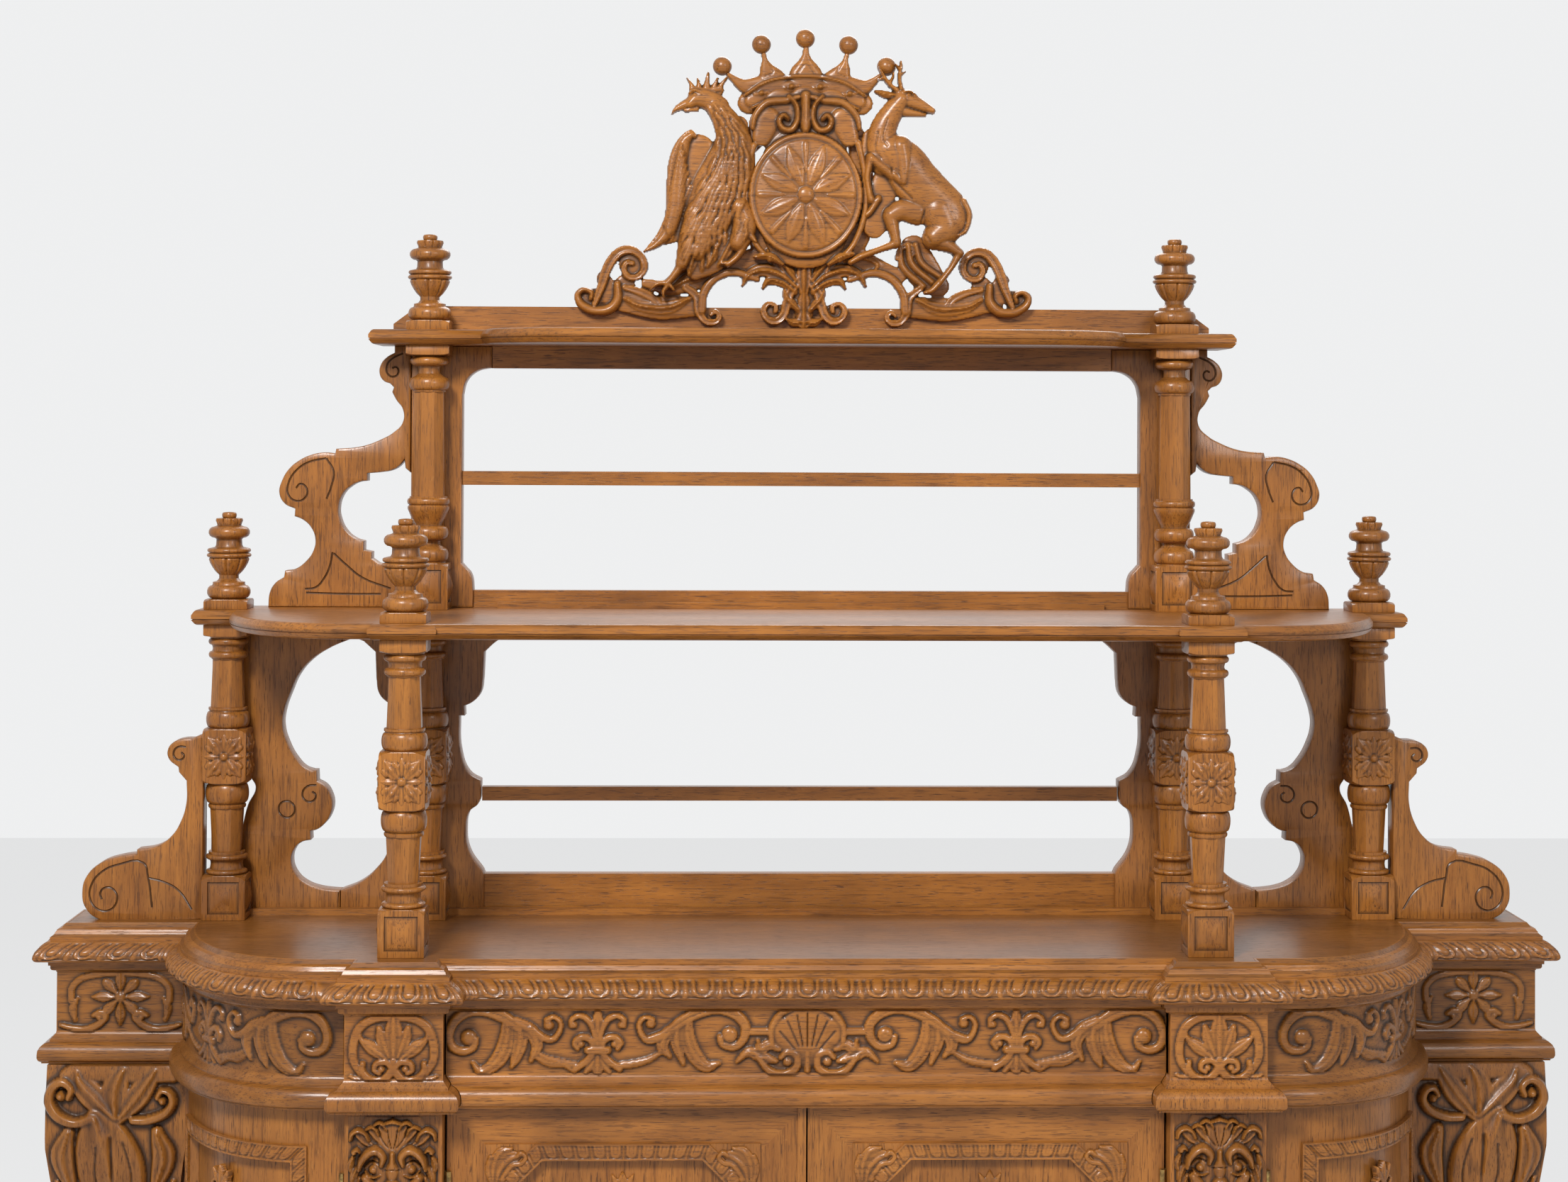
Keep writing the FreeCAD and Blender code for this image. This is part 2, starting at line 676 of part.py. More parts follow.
# feet: turned buns in front, square blocks behind
bun_shares = ((0.62, 0), (1, 0.3), (1, 0.62), (0.6, 1))
bun = turned("bun_foot", scaled(bun_shares, "0", "foot_radius", "0", "foot_height"))
foot_pieces = []
for index, (x, y) in enumerate((
        ("pilaster_offset", f"{pilaster_face} + plinth_wall"), ("-1 * pilaster_offset", f"{pilaster_face} + plinth_wall"),
        (f"{wing_side} - foot_radius", f"{wing_face} + plinth_wall"),
        (f"foot_radius - {wing_side}", f"{wing_face} + plinth_wall")), 1):
    copy = doc.addObject("App::Link", "bun_foot_%d" % index)
    copy.LinkedObject = bun
    bind(copy, "Placement.Base.x", x)
    bind(copy, "Placement.Base.y", y)
    foot_pieces.append(copy)
for index, x in enumerate(("pilaster_offset", "-1 * pilaster_offset", f"{wing_side} - foot_radius",
                           f"foot_radius - {wing_side}"), 1):
    foot_pieces.append(box("block_foot_%d" % index, (f"{x} - plinth_wall", f"{x} + plinth_wall"),
                           (f"{back} - plinth_wall * 2", back), ("0", "foot_height")))
keep(joined("feet_group", "Part::Compound", foot_pieces), "feet")

# console_left, console_right: scrolled brackets on the dies of the wings
console_face_shares = (
    (-0.36, 0), (0.36, 0), (0.36, 0.15), (0.3, 0.17), (0.28, 0.45), (0.46, 0.64), (0.5, 0.72),
    (0.4, 0.81), (0.42, 0.86), (0.5, 0.9), (0.48, 1, 0.4), (-0.48, 1), (-0.5, 0.9, 0.4),
    (-0.42, 0.86), (-0.4, 0.81), (-0.5, 0.72), (-0.46, 0.64), (-0.28, 0.45), (-0.3, 0.17), (-0.36, 0.15),
)
console_side_shares = (
    (0, 0), (0, 1), (-0.6, 1), (-0.7, 0.94), (-0.5, 0.87), (-0.84, 0.78), (-1, 0.7), (-0.9, 0.6),
    (-0.6, 0.52), (-0.42, 0.2), (-0.7, 0.15), (-0.7, 0),
)
console_middle = f"(({wing_side} + bow_flank) / 2)"
console_tall = f"({torus_under} - {case_floor})"
plan_cutter = doc.addObject("Part::Feature", "plan_clearance")
plan_cutter.Shape = planSolid(value("seat_gap"), 0, far_out).common(
    slab((-value("bow_flank") - 1, value("bow_flank") + 1), (-far_out, value(wing_face)), (0, far_out)))
for word, side in SIDES:
    face = padded("console_face_" + word, "XZ_Plane",
                  mirrored(scaled(console_face_shares, console_middle, "console_width", case_floor, console_tall), side),
                  "console_depth * 2", f"{wing_face}")
    profile = padded("console_side_" + word, "YZ_Plane",
                     scaled(console_side_shares, wing_face, "console_depth", case_floor, console_tall),
                     "console_width * 2", f"{side} * {console_middle} - console_width")
    bracket = joined("console_scroll_" + word, "Part::MultiCommon", [face, profile])
    keep(joined("console_cut_" + word, "Part::Cut", [bracket, plan_cutter]), "console_" + word)

# Centre drawer: a front board with its torus, and an open box behind it
drawer_half = f"({pilaster_inner} - drawer_gap)"
drawer_face_back = f"({centre_face} + drawer_front_thickness)"
torus_half = f"({pilaster_inner} - torus_reach - drawer_gap)"
strip_half = f"({pilaster_inner} - fillet_reach - drawer_gap)"
drawer_board_front = box("drawer_frieze", (f"-1 * {drawer_half}", drawer_half), (centre_face, drawer_face_back),
                         (frieze_under, f"{egg_under} - fillet_depth - seat_gap"))
drawer_fillet = box("drawer_fillet", (f"-1 * {strip_half}", strip_half),
                    (f"{centre_face} - fillet_reach", drawer_face_back),
                    (f"{egg_under} - fillet_depth - seat_gap", f"{egg_under} - seat_gap"))
torus_outline = [(drawer_face_back, torus_under)]
torus_outline += [(f"{centre_face} - torus_reach * {reach}", f"{torus_under} + torus_depth * {rise}")
                  for reach, rise in torus_shares]
torus_outline += [(drawer_face_back, frieze_under)]
drawer_torus = padded("drawer_torus", "YZ_Plane", torus_outline, f"{torus_half} * 2", f"-1 * {torus_half}")
keep(joined("drawer_front_fused", "Part::MultiFuse", [drawer_board_front, drawer_fillet, drawer_torus]),
     "centre_drawer_front")
box_half = f"({pilaster_inner} - torus_reach - drawer_gap * 2)"
box_low = f"({torus_under} + seat_gap)"
box_front = f"({drawer_face_back} + drawer_side)"
box_rear = f"({drawer_face_back} + drawer_depth - drawer_side)"
box_high = f"({box_low} + drawer_box_height)"
inner_half = f"({box_half} - drawer_side)"
drawer_walls = [
    box("drawer_inner_front", (f"-1 * {box_half}", box_half), (drawer_face_back, box_front), (box_low, box_high)),
    box("drawer_back", (f"-1 * {box_half}", box_half), (box_rear, f"{box_rear} + drawer_side"), (box_low, box_high)),
    box("drawer_base", (f"-1 * {inner_half}", inner_half), (box_front, box_rear),
        (box_low, f"{box_low} + drawer_bottom")),
    box("drawer_side_left", (f"-1 * {box_half}", f"-1 * {inner_half}"), (box_front, box_rear), (box_low, box_high)),
    box("drawer_side_right", (inner_half, box_half), (box_front, box_rear), (box_low, box_high)),
]
keep(joined("drawer_box_group", "Part::Compound", drawer_walls), "centre_drawer_box")
guides = []
for word, side in SIDES:
    edges = sorted((f"{side} * ({box_half} + drawer_gap)", f"{side} * ({box_half} + drawer_gap + guide_width)"), key=value)
    guides.append(box("drawer_guide_" + word, edges, (door_back, back_front), (torus_under, f"{torus_under} + guide_height")))
keep(joined("drawer_board_group", "Part::Compound", [drawer_panel] + guides), "drawer_board")

# Doors of the centre: mitred frames with a raised moulding round a panel
door_low = f"({case_floor} + door_swing_gap * 2)"
door_high = f"({torus_under} - door_swing_gap * 2)"
meeting_gap = "(door_gap / 2)"
hinge_edge = f"({pilaster_inner} - door_gap)"
opening_low = f"({door_low} + door_frame_width)"
opening_high = f"({door_high} - door_frame_width)"


def clippedOutline(left, right, low, high, clip):
    """A rectangle whose upper and lower corners are cut across."""
    return [(f"{left} + {clip}", low), (f"{right} - {clip}", low), (right, f"{low} + {clip}"),
            (right, f"{high} - {clip}"), (f"{right} - {clip}", high), (f"{left} + {clip}", high),
            (left, f"{high} - {clip}"), (left, f"{low} + {clip}")]


for word, side in SIDES:
    near = meeting_gap
    opening_near = f"({near} + door_frame_width + bead_width)"
    opening_far = f"({hinge_edge} - door_frame_width)"

    def across(a, b):
        return sorted((f"{side} * {a}", f"{side} * {b}"), key=value)

    leaf = box(f"centre_door_leaf_{word}", across(near, hinge_edge), (door_face, door_back), (door_low, door_high))
    opening = box(f"centre_door_opening_{word}", across(opening_near, opening_far),
                  (f"{door_face} - overrun", f"{door_back} + overrun"), (opening_low, opening_high))
    frame = joined(f"centre_door_frame_cut_{word}", "Part::Cut", [leaf, opening])
    if side == -1:
        bead = box("meeting_bead", across(near, f"({near} + bead_width)"),
                   (f"{door_face} - bead_reach", door_face), (door_low, door_high))
        frame = joined("centre_door_frame_fused", "Part::MultiFuse", [frame, bead])
    keep(frame, f"centre_door_{word}_frame")
    panel_face = f"({door_face} + panel_setback)"
    ground = box(f"centre_panel_ground_{word}", across(opening_near, opening_far),
                 (panel_face, f"{panel_face} + panel_thickness"), (opening_low, opening_high))
    moulding = box(f"centre_panel_moulding_{word}", across(opening_near, opening_far),
                   (f"{door_face} - bead_reach", panel_face), (opening_low, opening_high))
    left, right = across(opening_near, opening_far)
    inner = clippedOutline(f"({left} + panel_moulding_width)", f"({right} - panel_moulding_width)",
                           f"({opening_low} + panel_moulding_width)", f"({opening_high} - panel_moulding_width)",
                           "panel_clip")
    well = padded(f"centre_panel_well_{word}", "XZ_Plane", inner, "panel_moulding_reach * 2", panel_face)
    rim = joined(f"centre_panel_rim_{word}", "Part::Cut", [moulding, well])
    keep(joined(f"centre_panel_fused_{word}", "Part::MultiFuse", [ground, rim]), f"centre_door_{word}_panel")

# Curved doors of the bows: frame and panel follow the plan
window_low = value(opening_low)
window_high = value(opening_high)
leaf_low = value(door_low)
leaf_high = value(door_high)
face_reach = -value("door_setback")
back_reach = face_reach - value("door_thickness")
panel_reach = face_reach - value("panel_setback")
panel_back = panel_reach - value("panel_thickness")
stile = value("door_frame_width")
rim_width = value("panel_moulding_width")
bow_near = value(f"{pilaster_outer} + door_gap")
bow_far = bow_end - value("door_gap")


def bowPiece(side, outer, inner, inset, low, high):
    """A curved board between two reaches, each end and edge drawn in by an inset."""
    ring = planSolid(outer, low, high).cut(planSolid(inner, low - stile, high + stile))
    across = sorted((side * (bow_near + inset), side * value("bow_flank + 1")))
    return ring.common(slab(across, (-far_out, bow_far - inset), (low - stile, high + stile)))


for word, side in SIDES:
    leaf = bowPiece(side, face_reach, back_reach, 0, leaf_low, leaf_high)
    window = bowPiece(side, face_reach + stile, back_reach - stile, stile, window_low, window_high)
    shaped(f"bow_door_{word}_frame", leaf.cut(window))
    ground = bowPiece(side, panel_reach, panel_back, stile, window_low, window_high)
    rim = bowPiece(side, face_reach + value("bead_reach"), panel_reach, stile, window_low, window_high)
    well = bowPiece(side, face_reach + stile, panel_reach, stile + rim_width, window_low + rim_width,
                    window_high - rim_width)
    shaped(f"bow_door_{word}_panel", ground.fuse(rim.cut(well)))

# Hinges: a fixed half with the pin, and a moving half bored for it
hinge_levels = (("low", f"({door_low} + hinge_inset)"), ("high", f"({door_high} - hinge_inset - knuckle_length * 2)"))
doors = (("centre_door_left", -1, pilaster_inner, -1, door_face), ("centre_door_right", 1, pilaster_inner, -1, door_face),
         ("bow_door_left", -1, pilaster_outer, 1, f"({bow_face} + door_setback)"),
         ("bow_door_right", 1, pilaster_outer, 1, f"({bow_face} + door_setback)"))
knuckle_turn = Rotation(Vector(0, 0, 1), 180 / 8)
fixed_halves = []
for door, side, jamb, away, face in doors:
    pin_x = f"({side} * ({jamb} + {away} * knuckle_stand))"
    pin_y = f"({face} - knuckle_stand)"

    def between(a, b):
        return sorted((f"{side} * ({jamb} + {away} * ({a}))", f"{side} * ({jamb} + {away} * ({b}))"), key=value)

    moving_halves = []
    for place, level in hinge_levels:
        def prism(kind, low, radius):
            piece = doc.addObject("Part::Prism", f"{door}_{place}_{kind}")
            piece.Polygon = 8
            bind(piece, "Circumradius", radius)
            bind(piece, "Height", "knuckle_length")
            piece.Placement = Placement(Vector(0, 0, 0), knuckle_turn)
            for axis, text in zip("xyz", (pin_x, pin_y, low)):
                bind(piece, "Placement.Base." + axis, text)
            return piece

        def rod(kind, low, radius, high):
            piece = doc.addObject("Part::Cylinder", f"{door}_{place}_{kind}")
            bind(piece, "Radius", radius)
            bind(piece, "Height", f"({high}) - ({low})")
            for axis, text in zip("xyz", (pin_x, pin_y, low)):
                bind(piece, "Placement.Base." + axis, text)
            return piece

        split = f"({level} + knuckle_length)"
        lower = prism("fixed_knuckle", level, "knuckle_radius")
        pin = rod("pin", split, "pin_radius", f"{split} + knuckle_length - seat_gap")
        web = box(f"{door}_{place}_fixed_web", between("0", "knuckle_stand"),
                  (f"{pin_y} - hinge_leaf", f"{face} - seat_gap"), (level, split))
        plate = box(f"{door}_{place}_fixed_plate", between("0", "hinge_leaf"),
                    (f"{face} - seat_gap", f"{face} + hinge_leaf_width"), (level, f"{level} + knuckle_length * 2"))
        fixed_halves.append(joined(f"{door}_{place}_fixed", "Part::MultiFuse", [lower, pin, web, plate]))
        upper = prism("moving_knuckle", f"({split} + seat_gap)", "knuckle_radius")
        bore = rod("bore", f"{split} - overrun", "(pin_radius + pin_clearance)", f"{split} + knuckle_length + overrun")
        eye = joined(f"{door}_{place}_eye", "Part::Cut", [upper, bore])
        moving_web = box(f"{door}_{place}_moving_web", between("door_gap - hinge_leaf", "door_gap"),
                         (pin_y, f"{face} + seat_gap"), (f"{split} + seat_gap", f"{split} + seat_gap + knuckle_length"))
        moving_plate = box(f"{door}_{place}_moving_plate", between("door_gap - hinge_leaf", "door_gap"),
                           (f"{face} + seat_gap", f"{face} + hinge_leaf_width"),
                           (level, f"{level} + knuckle_length * 2"))
        moving_halves.append(joined(f"{door}_{place}_moving", "Part::MultiFuse", [eye, moving_web, moving_plate]))
    keep(joined(f"{door}_hinges_group", "Part::Compound", moving_halves), f"{door}_hinges")
keep(joined("fixed_hinges_group", "Part::Compound", fixed_halves), "fixed_hinges")


# Columns: square blocks with cut shoulders, turned rings and eight-sided shafts

def block(name, low, high, tall, cut_low, cut_high, rise):
    """A square block; where an end is cut, its corners slope back to the turning."""
    half = "(post_width / 2)"
    cube = box(name + "_cube", (f"-1 * {half}", half), (f"-1 * {half}", half), (f"{tall} * {low}", f"{tall} * {high}"))
    if not (cut_low or cut_high):
        return cube
    outline = []
    if cut_low:
        outline += [("shoulder", f"{tall} * {low}")]
    outline += [("corner", f"{tall} * {low} + {rise} * {int(cut_low)}"),
                ("corner", f"{tall} * {high} - {rise} * {int(cut_high)}")]
    if cut_high:
        outline += [("shoulder", f"{tall} * {high}")]
    radii = {"shoulder": f"{half} * shoulder_share", "corner": f"{half} * corner_share"}
    cutter = turned(name + "_shoulders", [(radii[kind], level) for kind, level in outline], "octagon_sides")
    return joined(name, "Part::MultiCommon", [cube, cutter])


lower_parts = (
    ("block", 0, 0.1505, False, True),
    ("rings", ((0.96, 0.1505), (0.75, 0.188), (0.96, 0.2275))),
    ("octagon", 0.2275, 0.3743, "octagon_narrow", "octagon_wide"),
    ("rings", ((0.86, 0.3743), (0.965, 0.42), (0.76, 0.4606))),
    ("block", 0.4606, 0.6459, True, True),
    ("rings", ((0.8, 0.6459), (0.96, 0.68), (0.87, 0.7174))),
    ("octagon", 0.7174, 0.8807, "octagon_wide", "octagon_narrow"),
    ("rings", ((0.91, 0.8807), (0.72, 0.916), (0.91, 0.9578))),
    ("block", 0.9578, 1, True, False),
)
upper_parts = (
    ("block", 0, 0.175, False, True),
    ("rings", ((0.95, 0.175), (0.55, 0.24), (0.94, 0.288), (0.6, 0.3157))),
    ("rings", ((0.6, 0.3157), (0.975, 0.39), (0.87, 0.4257))),
    ("octagon", 0.4257, 0.8228, "octagon_wide", "octagon_narrow"),
    ("rings", ((0.65, 0.8228), (0.94, 0.853), (0.5, 0.9), (0.89, 0.9613))),
    ("block", 0.9613, 1, False, False),
)


def column(name, parts, tall):
    pieces = []
    for index, part in enumerate(parts, 1):
        label = "%s_%d" % (name, index)
        if part[0] == "block":
            pieces.append(block(label, part[1], part[2], tall, part[3], part[4], "pommel"))
        elif part[0] == "rings":
            pieces.append(turned(label, scaled(part[1], "0", "post_width / 2", "0", tall)))
        else:
            ends = ((part[3], part[1]), (part[4], part[2]))
            shaft = [(f"{wide} / 2 * octagon_corner_share", f"{tall} * {level}") for wide, level in ends]
            pieces.append(turned(label, shaft, "octagon_sides"))
    return joined(name, "Part::MultiFuse", pieces)


lower_column = column("lower_column", lower_parts, "lower_tier")
upper_column = column("upper_column", upper_parts, "upper_tier")
finial_shares = (
    (0.95, 0.1006), (0.45, 0.28), (0.45, 0.352), (1.02, 0.6), (0.55, 0.66), (0.55, 0.73), (0.95, 0.8),
    (0.55, 0.9), (0.2, 1),
)
finial = joined("finial", "Part::MultiFuse", [
    block("finial_foot", 0, 0.1006, "finial_height", False, True, "finial_pommel"),
    turned("finial_turning", scaled(finial_shares, "0", "post_width / 2", "0", "finial_height"))])

pair = [(f"{side} * column_post_offset", side) for word, side in SIDES]
atPlaces("front_columns", lower_column, [(x, front_axis, "counter_height") for x, side in pair])
atPlaces("rear_columns", lower_column, [(x, rear_axis, "counter_height") for x, side in pair])
atPlaces("outer_columns", lower_column,
         [(f"{side} * outer_post_offset", rear_axis, "counter_height") for word, side in SIDES])
atPlaces("upper_columns", upper_column, [(x, rear_axis, mid_top) for x, side in pair])
finial_places = [(x, front_axis, mid_top) for x, side in pair]
finial_places += [(f"{side} * outer_post_offset", rear_axis, mid_top) for word, side in SIDES]
finial_places += [(x, rear_axis, top_top) for x, side in pair]
atPlaces("finials", finial, finial_places)

# Fretted and shaped boards of the lower tier
for word, side in SIDES:
    outline = scaled(fret_shares, "fret_joint", "fret_outer - fret_joint", "counter_height", "lower_tier")
    keep(padded("fret_panel_" + word, "XZ_Plane", mirrored(outline, side), "fret_thickness", back),
         "lower_fret_" + word)
    outline = scaled(stile_board_shares, "fret_inner", "fret_joint - fret_inner", "counter_height", "lower_tier")
    keep(padded("stile_board_" + word, "XZ_Plane", mirrored(outline, side), "fret_thickness", back),
         "lower_stile_" + word)
    outline = scaled(lower_bracket_shares, "outer_post_offset + post_width / 2", "lower_bracket_width",
                     "counter_height", "lower_bracket_height")
    keep(padded("lower_bracket_board_" + word, "XZ_Plane", mirrored(outline, side), "bracket_thickness",
                f"{rear_axis} + bracket_thickness / 2"), "lower_bracket_" + word)

rail_front = f"({fret_front} + fret_thickness / 2 - back_rail_thickness / 2)"
rail_back = f"({rail_front} + back_rail_thickness)"
low_back = box("lower_back_rail_board", ("-1 * fret_inner", "fret_inner"), (rail_front, rail_back),
               ("counter_height", "counter_height + back_rail_height"))
plate_end = f"(fret_inner + (fret_joint - fret_inner) * {nib_share} - seat_gap)"
lower_plate = box("lower_plate_rail_board", (f"-1 * {plate_end}", plate_end),
                  (rail_front, f"{rail_front} + plate_rail_thickness"),
                  ("counter_height + lower_plate_rail_level",
                   "counter_height + lower_plate_rail_level + plate_rail_height"))
strip_y = (f"{fret_front} - strip_reach", fret_front)
strip_z = ("counter_height", "counter_height + strip_height")
strips = [box("counter_strip_centre", ("post_width / 2 - column_post_offset", "column_post_offset - post_width / 2"),
              strip_y, strip_z)]
for word, side in SIDES:
    edges = sorted((f"{side} * (column_post_offset + post_width / 2)", f"{side} * (outer_post_offset - post_width / 2)"),
                   key=value)
    strips.append(box("counter_strip_" + word, edges, strip_y, strip_z))
keep(joined("lower_back_rail_group", "Part::Compound", [low_back] + strips), "lower_back_rail")


# Shelves: boards with a rounded edge that follow square projections and quarter-round bows

def quarterBow(nose, flank, radius, reach):
    """Corner points of a quarter bow from its nose (x, y) to its flank (x, y), square to both."""
    wide = flank[0] - nose[0]
    run = flank[1] - nose[1]
    other = (wide ** 2 + (run - radius) ** 2 - radius ** 2) / (2 * (wide - radius))
    nose_centre = Vector(nose[0], nose[1] + radius, 0)
    flank_centre = Vector(flank[0] - other, flank[1], 0)
    shared = (nose_centre - flank_centre) * (1 if other > radius else -1)
    meet = math.atan2(shared.y, shared.x)
    start = onCircle(nose_centre, radius + reach, -math.pi / 2)
    turn = onCircle(nose_centre, radius + reach, meet)
    end_angle = math.asin(-reach / (other + reach))
    end = onCircle(flank_centre, other + reach, end_angle)
    return [(start, None), (turn, onCircle(nose_centre, radius + reach, (meet - math.pi / 2) / 2)),
            (end, onCircle(flank_centre, other + reach, (meet + end_angle) / 2))]


def midShelfWire(reach, level):
    half = value("post_width / 2 + shelf_front_step")
    axis = value("column_post_offset")
    step_face = value(f"{front_axis} - post_width / 2 - shelf_front_step")
    centre = step_face + value("shelf_front_step")
    nose_face = centre + value("shelf_edge_reach")
    outer_axis = value("outer_post_offset")
    outer_face = value(f"{rear_axis} - post_width / 2 - shelf_front_step")
    corners = [(axis - half - reach, centre - reach), (axis - half - reach, step_face - reach),
               (axis + half + reach, step_face - reach), (axis + half + reach, nose_face - reach)]
    corners = [(Vector(x, y, 0), None) for x, y in corners]
    corners += quarterBow((value("mid_nose_offset"), nose_face), (value("mid_flank"), outer_face),
                          value("mid_nose_radius"), reach)
    corners += [(Vector(outer_axis + half + reach, outer_face - reach, 0), None),
                (Vector(outer_axis + half + reach, value(back), 0), None)]
    return closedWire(corners, level)


def topShelfWire(reach, level):
    face = value(f"{rear_axis} - post_width / 2 - shelf_front_step")
    nose = face - value("top_bow_run")
    corners = quarterBow((value("top_nose_offset"), nose), (value("top_bow_offset"), face),
                         value("top_nose_radius"), reach)
    corners += [(Vector(value("top_half_width") + reach, face - reach, 0), None),
                (Vector(value("top_half_width") + reach, value(back), 0), None)]
    return closedWire(corners, level)


edge_shares = ((0.1, 0), (1, 0.35), (1, 0.65), (0.2, 1))
for label, wire, low in (("mid_shelf", midShelfWire, mid_under), ("top_shelf", topShelfWire, top_under)):
    low = value(low)
    profile = levels(edge_shares, low, low + value("shelf_thickness"), value("shelf_edge_reach"))
    shaped(label, stacked(wire, profile))

# Upper tier: stiles, rails and brackets
for word, side in SIDES:
    outline = scaled(upper_stile_shares, "upper_stile_outer - upper_stile_width", "upper_stile_width",
                     mid_top, "upper_tier")
    keep(padded("upper_stile_board_" + word, "XZ_Plane", mirrored(outline, side), "fret_thickness", back),
         "upper_stile_" + word)
    outline = scaled(upper_bracket_shares, "upper_stile_outer", "upper_bracket_width", mid_top, "upper_tier")
    keep(padded("upper_bracket_board_" + word, "XZ_Plane", mirrored(outline, side), "bracket_thickness", back),
         "upper_bracket_" + word)
head = "(upper_stile_outer - upper_stile_width)"
keep(box("upper_top_rail_board", (f"-1 * {head}", head), (fret_front, back),
         (f"{top_under} - top_rail_height", top_under)), "upper_top_rail")
upper_plate = box("upper_plate_rail_board", ("-1 * upper_stile_inner", "upper_stile_inner"),
                  (rail_front, f"{rail_front} + plate_rail_thickness"),
                  (f"{mid_top} + upper_plate_rail_level",
                   f"{mid_top} + upper_plate_rail_level + plate_rail_height"))
keep(joined("plate_rails_group", "Part::Compound", [lower_plate, upper_plate]), "plate_rails")
low_rail = box("upper_low_rail", ("-1 * upper_opening", "upper_opening"), (rail_front, rail_back),
               (mid_top, f"{mid_top} + upper_rail_height"))
low_strip = box("upper_strip", ("-1 * upper_strip_half", "upper_strip_half"),
                (f"{fret_front} - strip_reach", rail_front), (mid_top, f"{mid_top} + strip_height"))
keep(joined("upper_back_rail_fused", "Part::MultiFuse", [low_rail, low_strip]), "upper_back_rail")

# Gallery rail and cresting on the top shelf
gallery_front = f"({fret_front} + seat_gap)"
keep(padded("gallery_board", "XZ_Plane", scaled(gallery_shares, "0", "gallery_half_width", top_top, "gallery_height"),
            "gallery_thickness", f"{gallery_front} + gallery_thickness"), "gallery_rail")
crest_foot = f"({top_top} + crest_overlap)"
for label, shares, layer in (("crest_scrollwork", scrollwork_shares, 0), ("crest_crown", crown_shares, 0),
                             ("crest_eagle", eagle_shares, 1), ("crest_stag", stag_shares, 1),
                             ("crest_shield", shield_shares, 1)):
    outline = scaled(shares, "0", "crest_half_width", crest_foot, "crest_height")
    keep(padded(label + "_board", "XZ_Plane", outline, "crest_thickness",
                f"{gallery_front} - crest_thickness * {layer}"), label)

doc.recompute()

problems = []
for thing in doc.Objects:
    if {"Invalid", "Error"} & set(thing.State):
        problems.append(thing.Name)
for piece in nodes:
    if piece.Shape.isNull() or not piece.Shape.isValid():
        problems.append(piece.Label)
if problems:
    raise RuntimeError("not sound: " + ", ".join(problems))


def straightEdged(face):
    return all(abs(edge.Length - (edge.Vertexes[0].Point - edge.Vertexes[-1].Point).Length) < 1e-6
               for edge in face.Edges)


def withFlatFaces(shape):
    """The same solids, with each flat face that has straight edges written as a plane."""
    solids = []
    for solid in shape.Solids:
        faces = []
        for face in solid.Faces:
            if isinstance(face.Surface, Part.Plane) or not straightEdged(face):
                faces.append(face)
                continue
            loops = [[vertex.Point for vertex in wire.OrderedVertexes] for wire in face.Wires]
            try:
                faces.append(Part.Face([Part.makePolygon(loop + loop[:1]) for loop in loops]))
            except Part.OCCError:
                faces.append(face)
        shell = Part.makeShell(faces)
        shell.sewShape()
        rebuilt = Part.makeSolid(shell)
        if rebuilt.Volume < 0:
            rebuilt.reverse()
        sound = rebuilt.isValid() and abs(rebuilt.Volume - solid.Volume) < solid.Volume / 10000
        solids.append(rebuilt if sound else solid)
    return solids[0] if len(solids) == 1 else Part.makeCompound(solids)


os.makedirs("parts", exist_ok=True)
for piece in nodes:
    withFlatFaces(piece.Shape).exportStep("parts/%s.step" % piece.Label)
print(len(nodes), "pieces")
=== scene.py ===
import math
import bmesh
import bpy
import numpy as np
from mathutils import Matrix, Vector


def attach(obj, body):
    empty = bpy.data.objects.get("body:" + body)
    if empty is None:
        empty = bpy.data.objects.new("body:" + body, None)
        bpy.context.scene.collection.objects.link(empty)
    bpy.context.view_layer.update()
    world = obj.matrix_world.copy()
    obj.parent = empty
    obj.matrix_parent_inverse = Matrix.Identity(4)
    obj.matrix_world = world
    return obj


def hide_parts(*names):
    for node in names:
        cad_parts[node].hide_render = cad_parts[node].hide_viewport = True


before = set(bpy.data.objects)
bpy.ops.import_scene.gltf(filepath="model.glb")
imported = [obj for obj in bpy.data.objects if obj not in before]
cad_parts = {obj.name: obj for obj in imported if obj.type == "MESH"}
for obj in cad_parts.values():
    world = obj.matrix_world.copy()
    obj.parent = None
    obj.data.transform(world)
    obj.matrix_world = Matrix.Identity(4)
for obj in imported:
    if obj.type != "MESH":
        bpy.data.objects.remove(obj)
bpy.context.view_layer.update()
mm = 0.001


class Tone:  # a shader socket that takes part in plain sums
    def __init__(self, finish, socket):
        self.finish = finish
        self.socket = socket

    def sum(self, operation, *others):
        return self.finish.node("ShaderNodeMath", {"operation": operation}, dict(enumerate((self,) + others)))

    def __add__(self, other):
        return self.sum("ADD", other)

    def __sub__(self, other):
        return self.sum("SUBTRACT", other)

    def __mul__(self, other):
        return self.sum("MULTIPLY", other)

    def __truediv__(self, other):
        return self.sum("DIVIDE", other)

    def __radd__(self, other):
        return self.sum("ADD", other)

    def __rmul__(self, other):
        return self.sum("MULTIPLY", other)

    def __rsub__(self, other):
        return self.finish.node("ShaderNodeMath", {"operation": "SUBTRACT"}, {0: other, 1: self})

    def held(self, low, high):
        return self.sum("MAXIMUM", low).sum("MINIMUM", high)

    def past(self, edge, softness):  # 0 below the edge, 1 above it
        return ((self - edge) / softness + 0.5).held(0, 1)


rayKinds = ("Camera", "Glossy", "Transmission")


